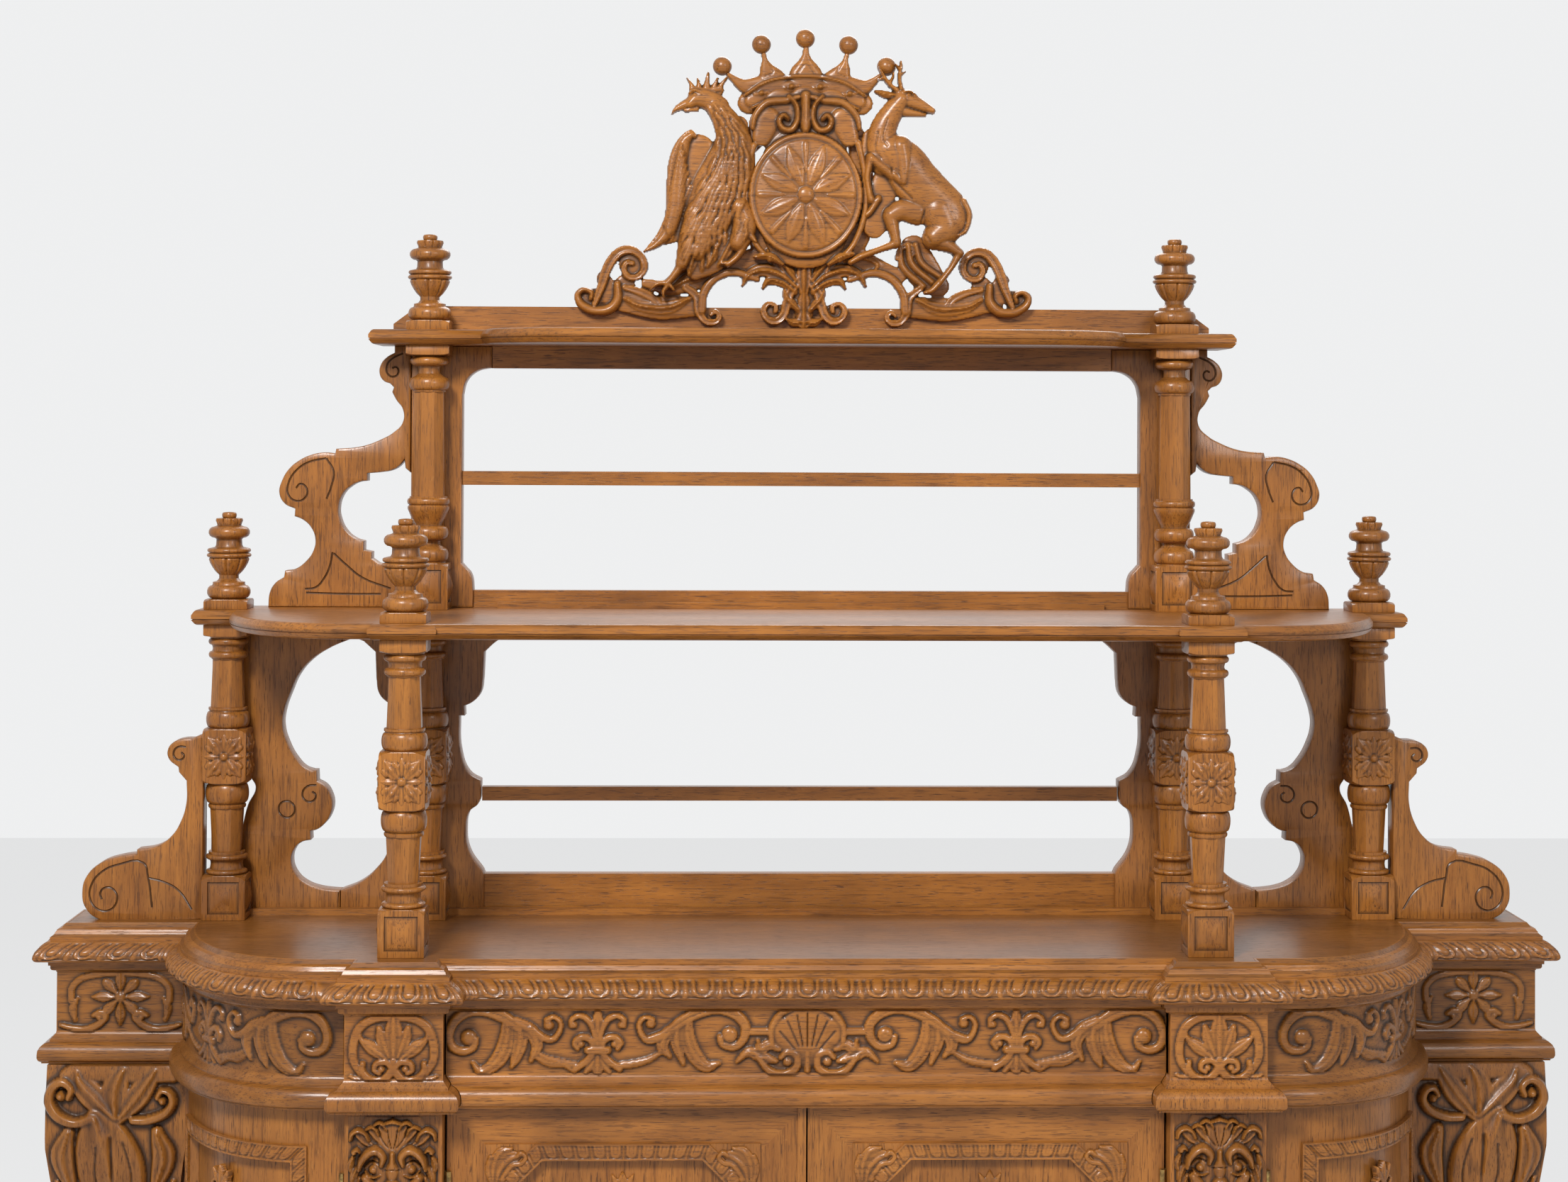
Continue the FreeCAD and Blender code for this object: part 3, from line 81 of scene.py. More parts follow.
class Finish:  # one material, or the world, and the nodes that feed its shader
    def __init__(self, name, owner=None):
        self.material = owner or bpy.data.materials.new(name)
        self.material.use_nodes = True
        self.tree = self.material.node_tree
        self.shader = self.tree.nodes["Background" if owner else "Principled BSDF"]

    def node(self, kind, settings=None, inputs=None, output=0):
        made = self.tree.nodes.new(kind)
        for key, setting in (settings or {}).items():
            setattr(made, key, setting)
        self.join(made, inputs or {})
        return Tone(self, made.outputs[output])

    def join(self, made, inputs):  # links or sets a node's sockets
        for key, entry in inputs.items():
            if isinstance(entry, Tone):
                self.tree.links.new(entry.socket, made.inputs[key])
            else:
                made.inputs[key].default_value = entry

    def scaled(self, spot, factors):
        return self.node("ShaderNodeVectorMath", {"operation": "MULTIPLY"}, {0: spot, 1: factors})

    def noise(self, spot, pattern):
        return self.node("ShaderNodeTexNoise", {}, {"Vector": spot, **pattern})

    def blend(self, first, second, share):
        return self.node("ShaderNodeMix", {"data_type": "RGBA"}, {0: share, 6: first, 7: second}, 2)

    def feed(self, **inputs):
        self.join(self.shader, {key.replace("_", " "): entry for key, entry in inputs.items()})
        return self.material

    def shown(self, other, share, outlet):  # mixes the shader with another and sends it out
        mixed = self.node("ShaderNodeMixShader", {}, {0: share, 1: Tone(self, self.shader.outputs[0]), 2: other})
        self.join(self.tree.nodes[outlet], {"Surface": mixed})

    def rays(self):  # 1 for a ray that shows the surface itself, 0 for one that lights others
        kinds = [self.node("ShaderNodeLightPath", output=f"Is {word} Ray") for word in rayKinds]
        return (kinds[0] + kinds[1] + kinds[2]).held(0, 1)


oakLook = {
    "light": (0.40, 0.155, 0.028, 1),
    "mid": (0.235, 0.08, 0.013, 1),
    "dark": (0.07, 0.023, 0.006, 1),
    # painted shade: the near-black colour laid into the carvings' recesses
    "hollow": (0.018, 0.008, 0.004, 1),
    "ray": (0.45, 0.2, 0.045, 1),
    "roughness": 0.27,
    "coat": 0.16,
    "coatRoughness": 0.18,
    "specular": 0.3,
    "alongGrain": 0.055,
    "alongRays": 0.5,
    "bump": {"Strength": 0.35, "Distance": 0.0007},
}
oakNoise = {
    "waver": {"Scale": 9, "Detail": 2, "Roughness": 0.5},
    "rings": {"Scale": 62, "Detail": 5, "Roughness": 0.62, "Distortion": 0.35},
    "streak": {"Scale": 260, "Detail": 3, "Roughness": 0.6},
    "pores": {"Scale": 620, "Detail": 2, "Roughness": 0.5},
    "flecks": {"Scale": 85, "Detail": 3, "Roughness": 0.7, "Distortion": 1.4},
    "blotch": {"Scale": 5.5, "Detail": 3, "Roughness": 0.55},
}
# where each mark starts, how softly, and how much it tints; the quirk and hollow marks are painted shade in recesses
oakMarks = {"ring": (0.5, 0.34, 0.6), "waver": (0.5, 0.5, 0.4), "ray": (0.66, 0.08, 0.3), "streak": (0.6, 0.16, 0.62),
            "pore": (0.635, 0.05, 0.8), "blotch": (0.47, 0.3, 0.42), "quirk": (0.495, 9), "arris": (0.52, 5, 0.8),
            "hollow": 0.86, "worn": 0.45}


# along is the way the grain runs; turned=(cx, cz, halfWide, halfTall) mitres a frame's grain
def oak(name, along, shade=1.0, carved=False, turned=None):
    f = Finish(name)
    here = f.node("ShaderNodeTexCoord", output=3)
    stretch = [oakLook["alongGrain"] if k == along else 1 for k in range(3)]
    lined = f.scaled(here, stretch)
    if turned:
        cx, cz, halfWide, halfTall = turned
        spot = [f.node("ShaderNodeSeparateXYZ", inputs={0: here}, output=k) for k in range(3)]
        fromSide = halfWide - (spot[0] - cx).sum("ABSOLUTE")
        fromTop = halfTall - (spot[2] - cz).sum("ABSOLUTE")
        stile = (fromTop - fromSide).past(0, 0.0004)
        upright = f.scaled(here, (1, 1, oakLook["alongGrain"]))
        lined = f.node("ShaderNodeMix", {"data_type": "VECTOR"}, {0: stile, 4: lined, 5: upright}, 1)
    waver, rings, streak, pores = (f.noise(lined, oakNoise[word]) for word in ("waver", "rings", "streak", "pores"))
    flecks = f.noise(f.scaled(here, [oakLook["alongRays"] if k == along else 1 for k in range(3)]), oakNoise["flecks"])
    blotch = f.noise(here, oakNoise["blotch"])

    def mark(tone, word):
        edge, softness, share = oakMarks[word]
        return tone.past(edge, softness) * share

    ring = mark(rings, "ring") + mark(waver, "waver")
    colour = f.blend(oakLook["mid"], oakLook["light"], ring)
    colour = f.blend(colour, oakLook["ray"], mark(flecks, "ray"))
    edge, softness, share = oakMarks["blotch"]
    pore = pores.past(*oakMarks["pore"][:2])
    for dark in (mark(streak, "streak"), pore * oakMarks["pore"][2], (1 - blotch.past(edge, softness)) * share):
        colour = f.blend(colour, oakLook["dark"], dark)
    rough = oakLook["roughness"] + streak * 0.14 + pore * 0.2
    bump = f.node("ShaderNodeBump", {}, {"Height": rings * 0.3 + streak * 0.3 - pore * 0.8, **oakLook["bump"]})
    if carved:
        # painted shade: the hollow attribute darkens each carving's recesses; the crest attribute lightens its proud
        # parts as real wear
        cut = f.node("ShaderNodeAttribute", {"attribute_name": "hollow"}, output=2)
        wear = f.node("ShaderNodeAttribute", {"attribute_name": "crest"}, output=2)
        if carved == "turned":  # painted shade darkens the turning's quirks, and its arrises wear
            point = f.node("ShaderNodeNewGeometry", output=7)
            quirk, steep = oakMarks["quirk"]
            arris, rise, most = oakMarks["arris"]
            cut = cut.sum("MAXIMUM", ((quirk - point) * steep).held(0, 1))
            wear = wear.sum("MAXIMUM", ((point - arris) * rise).held(0, most))
        # painted shade in the recesses, made patchy by the blotch noise
        recessShade = cut * (0.75 + 0.5 * blotch)
        colour = f.blend(colour, oakLook["hollow"], recessShade.held(0, 1) * oakMarks["hollow"])
        colour = f.blend(colour, oakLook["light"], (wear * (0.4 + ring)).held(0, 1) * oakMarks["worn"])
        rough = rough - wear * 0.1 + cut * 0.2
    # shade scales the colour darker; where it darkens the counter top, the bow and wing pieces and the incised grooves
    # it is painted shade
    if shade != 1:
        colour = f.node("ShaderNodeVectorMath", {"operation": "SCALE"}, {0: colour, "Scale": shade})
    f.feed(Base_Color=colour, Roughness=rough.held(0.12, 0.9), Normal=bump, Coat_Weight=oakLook["coat"],
           Coat_Roughness=oakLook["coatRoughness"], Specular_IOR_Level=oakLook["specular"])
    return f.material


def brassFinish():
    f = Finish("hingeBrass")
    here = f.node("ShaderNodeTexCoord", output=3)
    tarnish = f.noise(here, {"Scale": 90, "Detail": 4, "Roughness": 0.6})
    colour = f.blend((0.5, 0.34, 0.12, 1), (0.14, 0.09, 0.045, 1), tarnish.past(0.55, 0.25))
    bump = f.node("ShaderNodeBump", {}, {"Strength": 0.2, "Distance": 0.0003, "Height": tarnish})
    return f.feed(Base_Color=colour, Roughness=0.3 + tarnish * 0.3, Metallic=1.0, Normal=bump)


oakAcross = oak("oakAcross", 0)
oakUpright = oak("oakUpright", 2)
oakDeep = oak("oakDeep", 1)
oakTurned = oak("oakTurned", 2, carved="turned")
# painted shade: the counter top is painted darker than the rest, for how the light falls on it
oakTopPaintedShade = oak("oakTopPaintedShade", 0, shade=0.7)
# painted shade: the bow and wing mouldings and carvings are painted darker, as the light falls off towards the sides
oakSidePaintedShade = oak("oakSidePaintedShade", 0, shade=0.78)
oakCarvedSidePaintedShade = oak("oakCarvedSidePaintedShade", 0, shade=0.74, carved=True)
oakCarved = oak("oakCarved", 0, carved=True)
oakCarvedUpright = oak("oakCarvedUpright", 2, shade=0.85, carved=True)
# painted shade: the incised lines of the sawn boards are painted nearly black, for the shade inside the grooves
oakGroovePaintedShade = oak("oakGroovePaintedShade", 2, shade=0.3)
brass = brassFinish()
print("finishes ready")


# colours a finished piece, fixes it to its body and hides the CAD nodes it stands for
def dress(piece, finish, body="carcass", replaced=(), smooth=30):
    if finish:
        piece.data.materials.clear()
        piece.data.materials.append(finish)
    piece.data.shade_smooth()
    piece.data.set_sharp_from_angle(angle=math.radians(smooth))
    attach(piece, body)
    if replaced:
        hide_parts(*replaced)


def linked(name, data):  # an object in the scene that holds the data
    made = bpy.data.objects.new(name, data)
    bpy.context.scene.collection.objects.link(made)
    return made


def meshFrom(name, bm):  # the bmesh is used up
    mesh = bpy.data.meshes.new(name)
    bm.to_mesh(mesh)
    bm.free()
    return mesh


def pieceFrom(name, bm, place=None):  # an object from a bmesh in mm
    if place is not None:
        bmesh.ops.transform(bm, matrix=place, verts=bm.verts)
    bmesh.ops.scale(bm, vec=(mm, mm, mm), verts=bm.verts)
    return linked(name, meshFrom(name, bm))


def evaluated(piece):
    return bpy.data.meshes.new_from_object(piece.evaluated_get(bpy.context.evaluated_depsgraph_get()))


def solidFrom(name, curve):  # the mesh a curve makes
    holder = linked(name, curve)
    mesh = evaluated(holder)
    bpy.data.objects.remove(holder)
    return mesh


def turnedOut(mesh, merge=0):  # points every face outwards, after merging spots closer than told, in m
    bm = bmesh.new()
    bm.from_mesh(mesh)
    if merge:
        bmesh.ops.remove_doubles(bm, verts=bm.verts, dist=merge)
    bmesh.ops.recalc_face_normals(bm, faces=bm.faces)
    bm.to_mesh(mesh)
    bm.free()


def softened(bm, edges, offset, segments=2):
    bmesh.ops.bevel(bm, geom=edges, offset=offset, offset_type="OFFSET", affect="EDGES", segments=segments,
                    profile=0.5, material=-1)


def thickened(bm):  # gives a sheet a back and sides; front is 1 on the side that shows
    front = bm.verts.layers.float.get("front") or bm.verts.layers.float.new("front")
    for part in bmesh.ops.extrude_face_region(bm, geom=bm.faces[:])["geom"]:
        if isinstance(part, bmesh.types.BMVert):
            part[front] = 1


def spotsOf(mesh):
    spots = np.zeros(len(mesh.vertices) * 3, np.float32)
    mesh.vertices.foreach_get("co", spots)
    return spots.reshape(-1, 3).astype(float)


def fieldOf(mesh, word):
    field = np.zeros(len(mesh.vertices), np.float32)
    mesh.attributes[word].data.foreach_get("value", field)
    return field


def movedTo(mesh, placed):  # places are in mm
    mesh.vertices.foreach_set("co", (np.stack(placed, -1) * mm).astype(np.float32).ravel())
    mesh.update()
    turnedOut(mesh)


def block(low, high, edge):  # a box between two corners in mm, with softened edges
    bm = bmesh.new()
    bmesh.ops.create_cube(bm, size=1)
    middles = [(a + b) / 2 for a, b in zip(low, high)]
    sizes = [b - a for a, b in zip(low, high)]
    bmesh.ops.transform(bm, matrix=Matrix.Translation(middles) @ Matrix.Diagonal(sizes + [1]), verts=bm.verts)
    softened(bm, bm.edges[:], edge)
    return bm


def cutWith(piece, tool, way):  # intersects or cuts one piece with another, which is used up
    change = piece.modifiers.new("cut", "BOOLEAN")
    change.operation = way
    change.solver = "EXACT"
    change.material_mode = "TRANSFER"
    change.object = tool
    mesh, old = evaluated(piece), piece.data
    piece.modifiers.clear()
    piece.data = mesh
    mesh.name = piece.name
    bpy.data.meshes.remove(old)
    bpy.data.objects.remove(tool)
    return piece


axisRadius, weld = 0.01, 0.03  # in mm: where a profile meets the axis, and how close its spots merge


def turning(points, steps=48):  # spun from (radius, height) points, closed on the axis at both ends
    bm = bmesh.new()
    spots = [(axisRadius, points[0][1])] + list(points) + [(axisRadius, points[-1][1])]
    verts = [bm.verts.new((radius, 0, height)) for radius, height in spots]
    edges = [bm.edges.new(pair) for pair in zip(verts, verts[1:])]
    return spun(bm, verts + edges, steps)


def spun(bm, profile, steps):
    bmesh.ops.spin(bm, geom=profile, cent=(0, 0, 0), axis=(0, 0, 1), angle=math.tau, steps=steps, use_merge=True)
    bmesh.ops.remove_doubles(bm, verts=bm.verts, dist=weld)
    bmesh.ops.recalc_face_normals(bm, faces=bm.faces)
    return bm


def bead(low, high, foot, crown, steps=7):  # a half-round ring between two heights and two radii
    points = []
    for k in range(steps + 1):
        turn = math.pi * k / steps
        points.append((foot + (crown - foot) * math.sin(turn), (low + high) / 2 - (high - low) / 2 * math.cos(turn)))
    return points


panel = {"inset": 1.2, "depth": 3.2, "tip": 10, "cuts": 4, "leastArea": 900}


def squareBlock(low, high, half, panelled=False):  # panelled is the width of the frame round each side's pyramid
    bm = block((-half, -half, low), (half, half, high), 1.2)
    if panelled:
        sides = [face for face in bm.faces if abs(face.normal.z) < 0.1 and face.calc_area() > panel["leastArea"]]
        bmesh.ops.inset_individual(bm, faces=sides, thickness=panelled, depth=0)
        bmesh.ops.inset_individual(bm, faces=sides, thickness=panel["inset"], depth=-panel["depth"])
        for face in sides:
            top = face.calc_center_median() + face.normal * panel["tip"]
            tip = bmesh.ops.poke(bm, faces=[face])["verts"][0]
            tip.co = top
            bmesh.ops.subdivide_edges(bm, edges=tip.link_edges[:], cuts=panel["cuts"])
    return bm


# cuts a block so that each end told arches up its faces to the turning's round shoulder
def pommelTool(low, high, half, archLow, archHigh, rise):
    corner = half * 1.45
    arch = [(half + (corner - half) * math.sin(math.pi / 2 * k / 8), rise * (1 - math.cos(math.pi / 2 * k / 8)))
            for k in range(9)]
    points = [(r, low + z) for r, z in arch] if archLow else [(corner, low - 2)]
    points += [(r, high - z) for r, z in reversed(arch)] if archHigh else [(corner, high + 2)]
    return turning(points, 64)


def blockPiece(name, low, high, half, archLow, archHigh, rise=18, panelled=False):
    piece = pieceFrom(name, squareBlock(low, high, half, panelled))
    tool = pieceFrom(name + "Tool", pommelTool(low, high, half, archLow, archHigh, rise))
    return cutWith(piece, tool, "INTERSECT")


def shaft(low, high, halfLow, halfHigh):  # an eight-sided length with softened corners
    bm = bmesh.new()
    corner = 1 / math.cos(math.pi / 8)
    verts = [bm.verts.new((r, 0, z)) for r, z in ((axisRadius, low), (halfLow * corner, low),
                                                  (halfHigh * corner, high), (axisRadius, high))]
    edges = [bm.edges.new(pair) for pair in zip(verts, verts[1:])]
    bmesh.ops.rotate(bm, cent=(0, 0, 0), matrix=Matrix.Rotation(math.pi / 8, 3, "Z"), verts=verts)
    spun(bm, verts + edges, 8)
    long = [edge for edge in bm.edges if abs(edge.verts[0].co.z - edge.verts[1].co.z) > (high - low) * 0.6]
    softened(bm, long, 1.4)
    return bm


# carving in relief: strokes are (kind, points) with points (across, up, half width, height) in mm, and
# kind r is round, c hollowed, f flat with round edges, v a groove, l a leaf with a rib
def smoothPath(points, step=2.5):
    spots = np.array(points, float)
    if len(spots) == 2:
        spots = np.array([spots[0], (spots[0] + spots[1]) / 2, spots[1]])
    padded = np.vstack([2 * spots[0] - spots[1], spots, 2 * spots[-1] - spots[-2]])
    run = []
    for k in range(1, len(padded) - 2):
        a, b, c, d = padded[k - 1:k + 3]
        count = max(2, int(np.hypot(*(c - b)[:2]) / step) + 1)
        t = np.linspace(0, 1, count, endpoint=False)[:, None]
        run.append(0.5 * (2 * b + (c - a) * t + (2 * a - 5 * b + 4 * c - d) * t ** 2
                          + (3 * b - a - 3 * c + d) * t ** 3))
    run.append(spots[-1:])
    path = np.vstack(run)
    path[:, 2] = np.maximum(path[:, 2], 0.3)
    return path


def relief(across, up, strokes):
    ground = np.zeros(across.shape)
    grooves = np.zeros(across.shape)
    for kind, points in strokes:
        path = smoothPath(points)
        reach = path[:, 2].max() + 1
        near = ((across > path[:, 0].min() - reach) & (across < path[:, 0].max() + reach)
                & (up > path[:, 1].min() - reach) & (up < path[:, 1].max() + reach))
        if not near.any():
            continue
        x = across[near]
        y = up[near]
        best = np.full(x.shape, 9.0)
        tall = np.zeros(x.shape)
        for a, b in zip(path, path[1:]):
            run = b[:2] - a[:2]
            length = max(float(run @ run), 1e-6)
            t = np.clip(((x - a[0]) * run[0] + (y - a[1]) * run[1]) / length, 0, 1)
            off = np.hypot(x - a[0] - run[0] * t, y - a[1] - run[1] * t) / (a[2] + (b[2] - a[2]) * t)
            closer = off < best
            best[closer] = off[closer]
            tall[closer] = (a[3] + (b[3] - a[3]) * t)[closer]
        off = np.clip(best, 0, 1)
        edge = np.sqrt(np.clip(1 - off ** 4, 0, 1))
        shares = {"r": np.sqrt(1 - off ** 2), "c": edge * (0.55 + 0.45 * off ** 2),
                  "l": edge * (0.62 + 0.38 * np.abs(1 - 2 * off) ** 1.5), "f": edge}
        if kind == "v":
            grooves[near] = np.maximum(grooves[near], tall * (1 - off))
        else:
            ground[near] = np.maximum(ground[near], tall * shares[kind])
    return np.where(ground > 0.01, np.maximum(ground - grooves, 0.2), ground - grooves * 0.4)


def evened(field, rounds):
    for k in range(rounds):
        wide = np.pad(field, 1, mode="edge")
        field = (wide[1:-1, :-2] + wide[1:-1, 2:] + wide[:-2, 1:-1] + wide[2:, 1:-1] + 4 * field) / 8
    return field


# how the painted shade in a carving's recesses (hollow) and the real wear on its proud parts (crest) are found
shadeAndWearLook = {"hollowRounds": 14, "hollowDepth": 1.7, "hollowPower": 0.8, "crestRounds": 10, "crestRise": 2.4,
            "rimRounds": 3}


# one carving: a fine grid over area (left, right, low, high) in mm, raised by its strokes, cut out
# where it stays under cut, and given a back; place(x, y, height) lays it on the piece that carries it
def carved(name, area, step, strokes, place, cut=None, depth=3, detail=(), shape=None):
    left, right, low, high = area
    columns = max(3, int((right - left) / step))
    rows = max(3, int((high - low) / step))
    bm = bmesh.new()
    bmesh.ops.create_grid(bm, x_segments=columns, y_segments=rows, size=0.5)
    bmesh.ops.transform(bm, matrix=Matrix.Translation(((left + right) / 2, (low + high) / 2, 0)) @ Matrix.Diagonal(
        (right - left, high - low, 1, 1)), verts=bm.verts)
    mesh = meshFrom(name, bm)
    spots = spotsOf(mesh)
    order = np.lexsort((spots[:, 0].round(2), spots[:, 1].round(2)))
    across = spots[order, 0].reshape(rows + 1, columns + 1)
    up = spots[order, 1].reshape(rows + 1, columns + 1)
    height = relief(across, up, strokes)
    if detail:
        height = height + relief(across, up, detail) * (height > 1)
    if shape:
        height = shape(across, up, height)
    height = evened(height, 1)
    # painted shade: a spot is darkened by how far it lies below its blurred surroundings
    deep = np.clip((evened(height, shadeAndWearLook["hollowRounds"]) - height) / shadeAndWearLook["hollowDepth"], 0, 1)
    proud = np.clip((height - evened(height, shadeAndWearLook["crestRounds"])) / shadeAndWearLook["crestRise"], 0, 1)
    fields = {"height": height, "hollow": deep ** shadeAndWearLook["hollowPower"], "crest": proud,
              "front": np.zeros(height.shape)}
    for word, field in fields.items():
        share = np.empty(len(order), np.float32)
        share[order] = field.ravel()
        mesh.attributes.new(word, "FLOAT", "POINT").data.foreach_set("value", share)
    bm = bmesh.new()
    bm.from_mesh(mesh)
    if cut is not None:
        tall = bm.verts.layers.float["height"]
        bmesh.ops.delete(bm, geom=[vert for vert in bm.verts if vert[tall] < cut], context="VERTS")
        bmesh.ops.delete(bm, geom=[vert for vert in bm.verts if not vert.link_faces], context="VERTS")
        for k in range(shadeAndWearLook["rimRounds"]):
            rim = [vert for vert in bm.verts if vert.is_boundary]
            bmesh.ops.smooth_vert(bm, verts=rim, factor=0.5, use_axis_x=True, use_axis_y=True)
    thickened(bm)
    bm.to_mesh(mesh)
    bm.free()
    spots = spotsOf(mesh)
    tall = np.where(fieldOf(mesh, "front") > 0.5, fieldOf(mesh, "height"), -depth)
    movedTo(mesh, place(spots[:, 0], spots[:, 1], tall))
    return linked(name, mesh)


# strokes as (kind, height, [(u, v, half width)]) in a drawing's own units, u to the right and v down
def fromDrawing(drawing, strokes):
    unit, middle, level = drawing["unit"], drawing["middle"], drawing["level"]
    return [(kind, [((u - middle) * unit, level - v * unit, w * unit, height) for u, v, w in points])
            for kind, height, points in strokes]


def dot(kind, height, u, v, half, down=1):  # a round spot: a stroke one unit long
    return kind, height, [(u, v, half), (u + 1, v + down, half)]


def turnedOver(strokes):  # the same strokes for the other side
    return [(kind, [(-x, y, w, h) for x, y, w, h in points]) for kind, points in strokes]


def flatter(h, share=0.75):  # a lower carving, with its back where it was
    return np.where(h > 0, h * share, h)


def facing(middle, front):  # lays a carving on a plane that faces forwards
    return lambda x, y, h: (middle + x, front - flatter(h), y)


def joinedPiece(name, pieces):
    bm = bmesh.new()
    words = ("hollow", "crest")
    for word in words:
        bm.verts.layers.float.new(word)
    for piece in pieces:
        for word in words:
            if word not in piece.data.attributes:
                piece.data.attributes.new(word, "FLOAT", "POINT")
        bm.from_mesh(piece.data)
    mesh = meshFrom(name, bm)
    for piece in pieces:
        bpy.data.objects.remove(piece)
    return linked(name, mesh)


def copyAt(piece, name, spot):  # spot is in mm
    mesh = piece.data.copy()
    mesh.transform(Matrix.Translation(Vector(spot) * mm))
    return linked(name, mesh)


postHalf = 40
columnPlaces = {"x": 698, "outer": 1067, "rearY": 212, "frontY": -164, "counter": 1100, "mid": 1673, "top": 2192}


rosette = {"area": (-36, 36, -42, 42), "step": 1.6, "sunk": 0.6, "share": 0.72, "depth": 2}


def rosetteStrokes():
    strokes = [("r", [(0, 0, 8, 11), (0.1, 0, 8, 11)])]
    for across in (-1, 1):
        for up in (-1, 1):
            strokes += [("l", [(6 * across, 6 * up, 4, 6), (17 * across, 19 * up, 12, 9),
                               (29 * across, 34 * up, 4, 6)]),
                        ("r", [(17 * across, 20 * up, 4.6, 11), (18 * across, 21 * up, 4.6, 11)]),
                        ("r", [(9 * across, 26 * up, 5.5, 7), (12 * across, 31 * up, 5, 6)]),
                        ("r", [(26 * across, 13 * up, 5.5, 7), (31 * across, 18 * up, 5, 6)])]
        strokes += [("l", [(0, 10 * across, 3, 5), (0, 24 * across, 7, 7), (0, 40 * across, 2, 4)]),
                    ("l", [(10 * across, 0, 3, 5), (22 * across, 0, 6.5, 7), (35 * across, 0, 2, 4)])]
    return strokes


def rosetteFaces(name, middle):  # the same rosette on all four sides
    sheet = carved(name, rosette["area"], rosette["step"], rosetteStrokes(),
                   lambda x, y, h: (x, -postHalf + rosette["sunk"] - flatter(h, rosette["share"]), y + middle),
                   depth=rosette["depth"])
    faces = []
    for k in range(4):
        mesh = sheet.data.copy()
        mesh.transform(Matrix.Rotation(math.pi / 2 * k, 4, "Z"))
        faces.append(linked(name + str(k), mesh))
    bpy.data.objects.remove(sheet)
    return faces


def lowerColumn(name):
    pieces = [blockPiece(name + "Base", 0, 82, postHalf, False, True, panelled=14),
              blockPiece(name + "Middle", 251, 352, postHalf, True, True, rise=15),
              blockPiece(name + "Cap", 522, 545, postHalf, True, False, rise=8)]
    foot = (bead(82, 91, 33, 38) + [(31, 92), (30, 97), (29.6, 101), (30, 105), (31.5, 108)]
            + bead(109, 119, 33, 38.5) + [(33, 120), (33.5, 124), (28, 124.2)])
    collar = ([(29, 203), (33, 204), (34.5, 206.5), (34.5, 210), (32.5, 212)]
              + bead(213.5, 249, 34, 39.8, 10) + [(34, 251)])
    lowCollar = [(34, 352)] + bead(353, 383, 34, 39.8, 10) + [(33.5, 384.5), (35.5, 386), (35.5, 390), (29, 391.3)]
    head = ([(27, 479), (31, 480)] + bead(481.5, 494, 31, 36) + [(29.5, 495), (28.4, 499), (29.5, 504)]
            + bead(506, 518, 31, 36.5) + [(34, 519), (34, 522)])
    for label, points in (("Foot", foot), ("Collar", collar), ("LowCollar", lowCollar), ("Head", head)):
        pieces.append(pieceFrom(name + label, turning(points)))
    pieces.append(pieceFrom(name + "Shaft", shaft(124, 204, 25.8, 29.6)))
    pieces.append(pieceFrom(name + "UpperShaft", shaft(391, 480, 30, 26.8)))
    pieces += rosetteFaces(name + "Rosette", 301.5)
    return joinedPiece(name, pieces)


def upperColumn(name):
    pieces = [blockPiece(name + "Base", 0, 86, postHalf, False, True, panelled=15),
              blockPiece(name + "Cap", 472, 491, postHalf, True, False, rise=6)]
    foot = ([(33, 86)] + bead(88, 113, 32, 38) + [(31, 114), (24, 119), (22.4, 123), (24, 127)]
            + bead(129, 154, 30, 37.6)
            + [(25, 155.5), (25, 158), (31, 168), (36, 180), (38.6, 186), (38.8, 190), (36.5, 193)]
            + bead(194, 206, 36, 39.5) + [(35, 207), (35, 209.5), (29, 210)])
    head = ([(27, 403), (31, 404), (31, 406)] + bead(407, 431, 31, 38) + [(27, 433), (21, 438), (20, 445), (21, 451)]
            + bead(453, 470, 26, 36) + [(30, 472)])
    for label, points in (("Foot", foot), ("Head", head)):
        pieces.append(pieceFrom(name + label, turning(points)))
    pieces.append(pieceFrom(name + "Shaft", shaft(209.5, 404, 29.6, 27.7)))
    return joinedPiece(name, pieces)


def finialPiece(name):
    points = ([(34, 17.5)] + bead(19, 43, 31, 40) + [(29.6, 45), (29.6, 49), (22, 51), (18, 56), (18, 62), (20, 64),
              (25, 69), (30, 76), (34.5, 84), (37, 91), (36, 93.5)] + bead(94.5, 103, 35, 41) + bead(103.5, 112, 35, 40)
              + [(26, 114), (24, 118), (23.5, 128), (25, 130)] + bead(131, 152, 27, 38)
              + [(22, 154), (22.5, 157), (25, 163), (24, 167), (15, 168)] + bead(168, 178, 11, 13.5)
              + [(9, 178.5), (4, 179)])
    bm = turning(points, 96)
    for vert in bm.verts:
        angle = math.atan2(vert.co.y, vert.co.x)
        if 63 < vert.co.z < 93.8 or 154 < vert.co.z < 167.5:
            lobes = 4 if vert.co.z < 100 else 5
            dip = math.exp(-(math.sin(lobes * angle) / 0.22) ** 2)
            rib = math.exp(-(math.cos(lobes * angle) / 0.16) ** 2) * 0.5
            share = 1 - 0.11 * dip - 0.03 * rib
            vert.co.x *= share
            vert.co.y *= share
    pieces = [pieceFrom(name + "Turning", bm), blockPiece(name + "Foot", 0, 18, postHalf, False, True, rise=9)]
    return joinedPiece(name, pieces)


def setOut(name, source, node, spots):
    copies = [copyAt(source, f"{name}{k}", spot) for k, spot in enumerate(spots)]
    dress(joinedPiece(name, copies), oakTurned, replaced=[node], smooth=38)


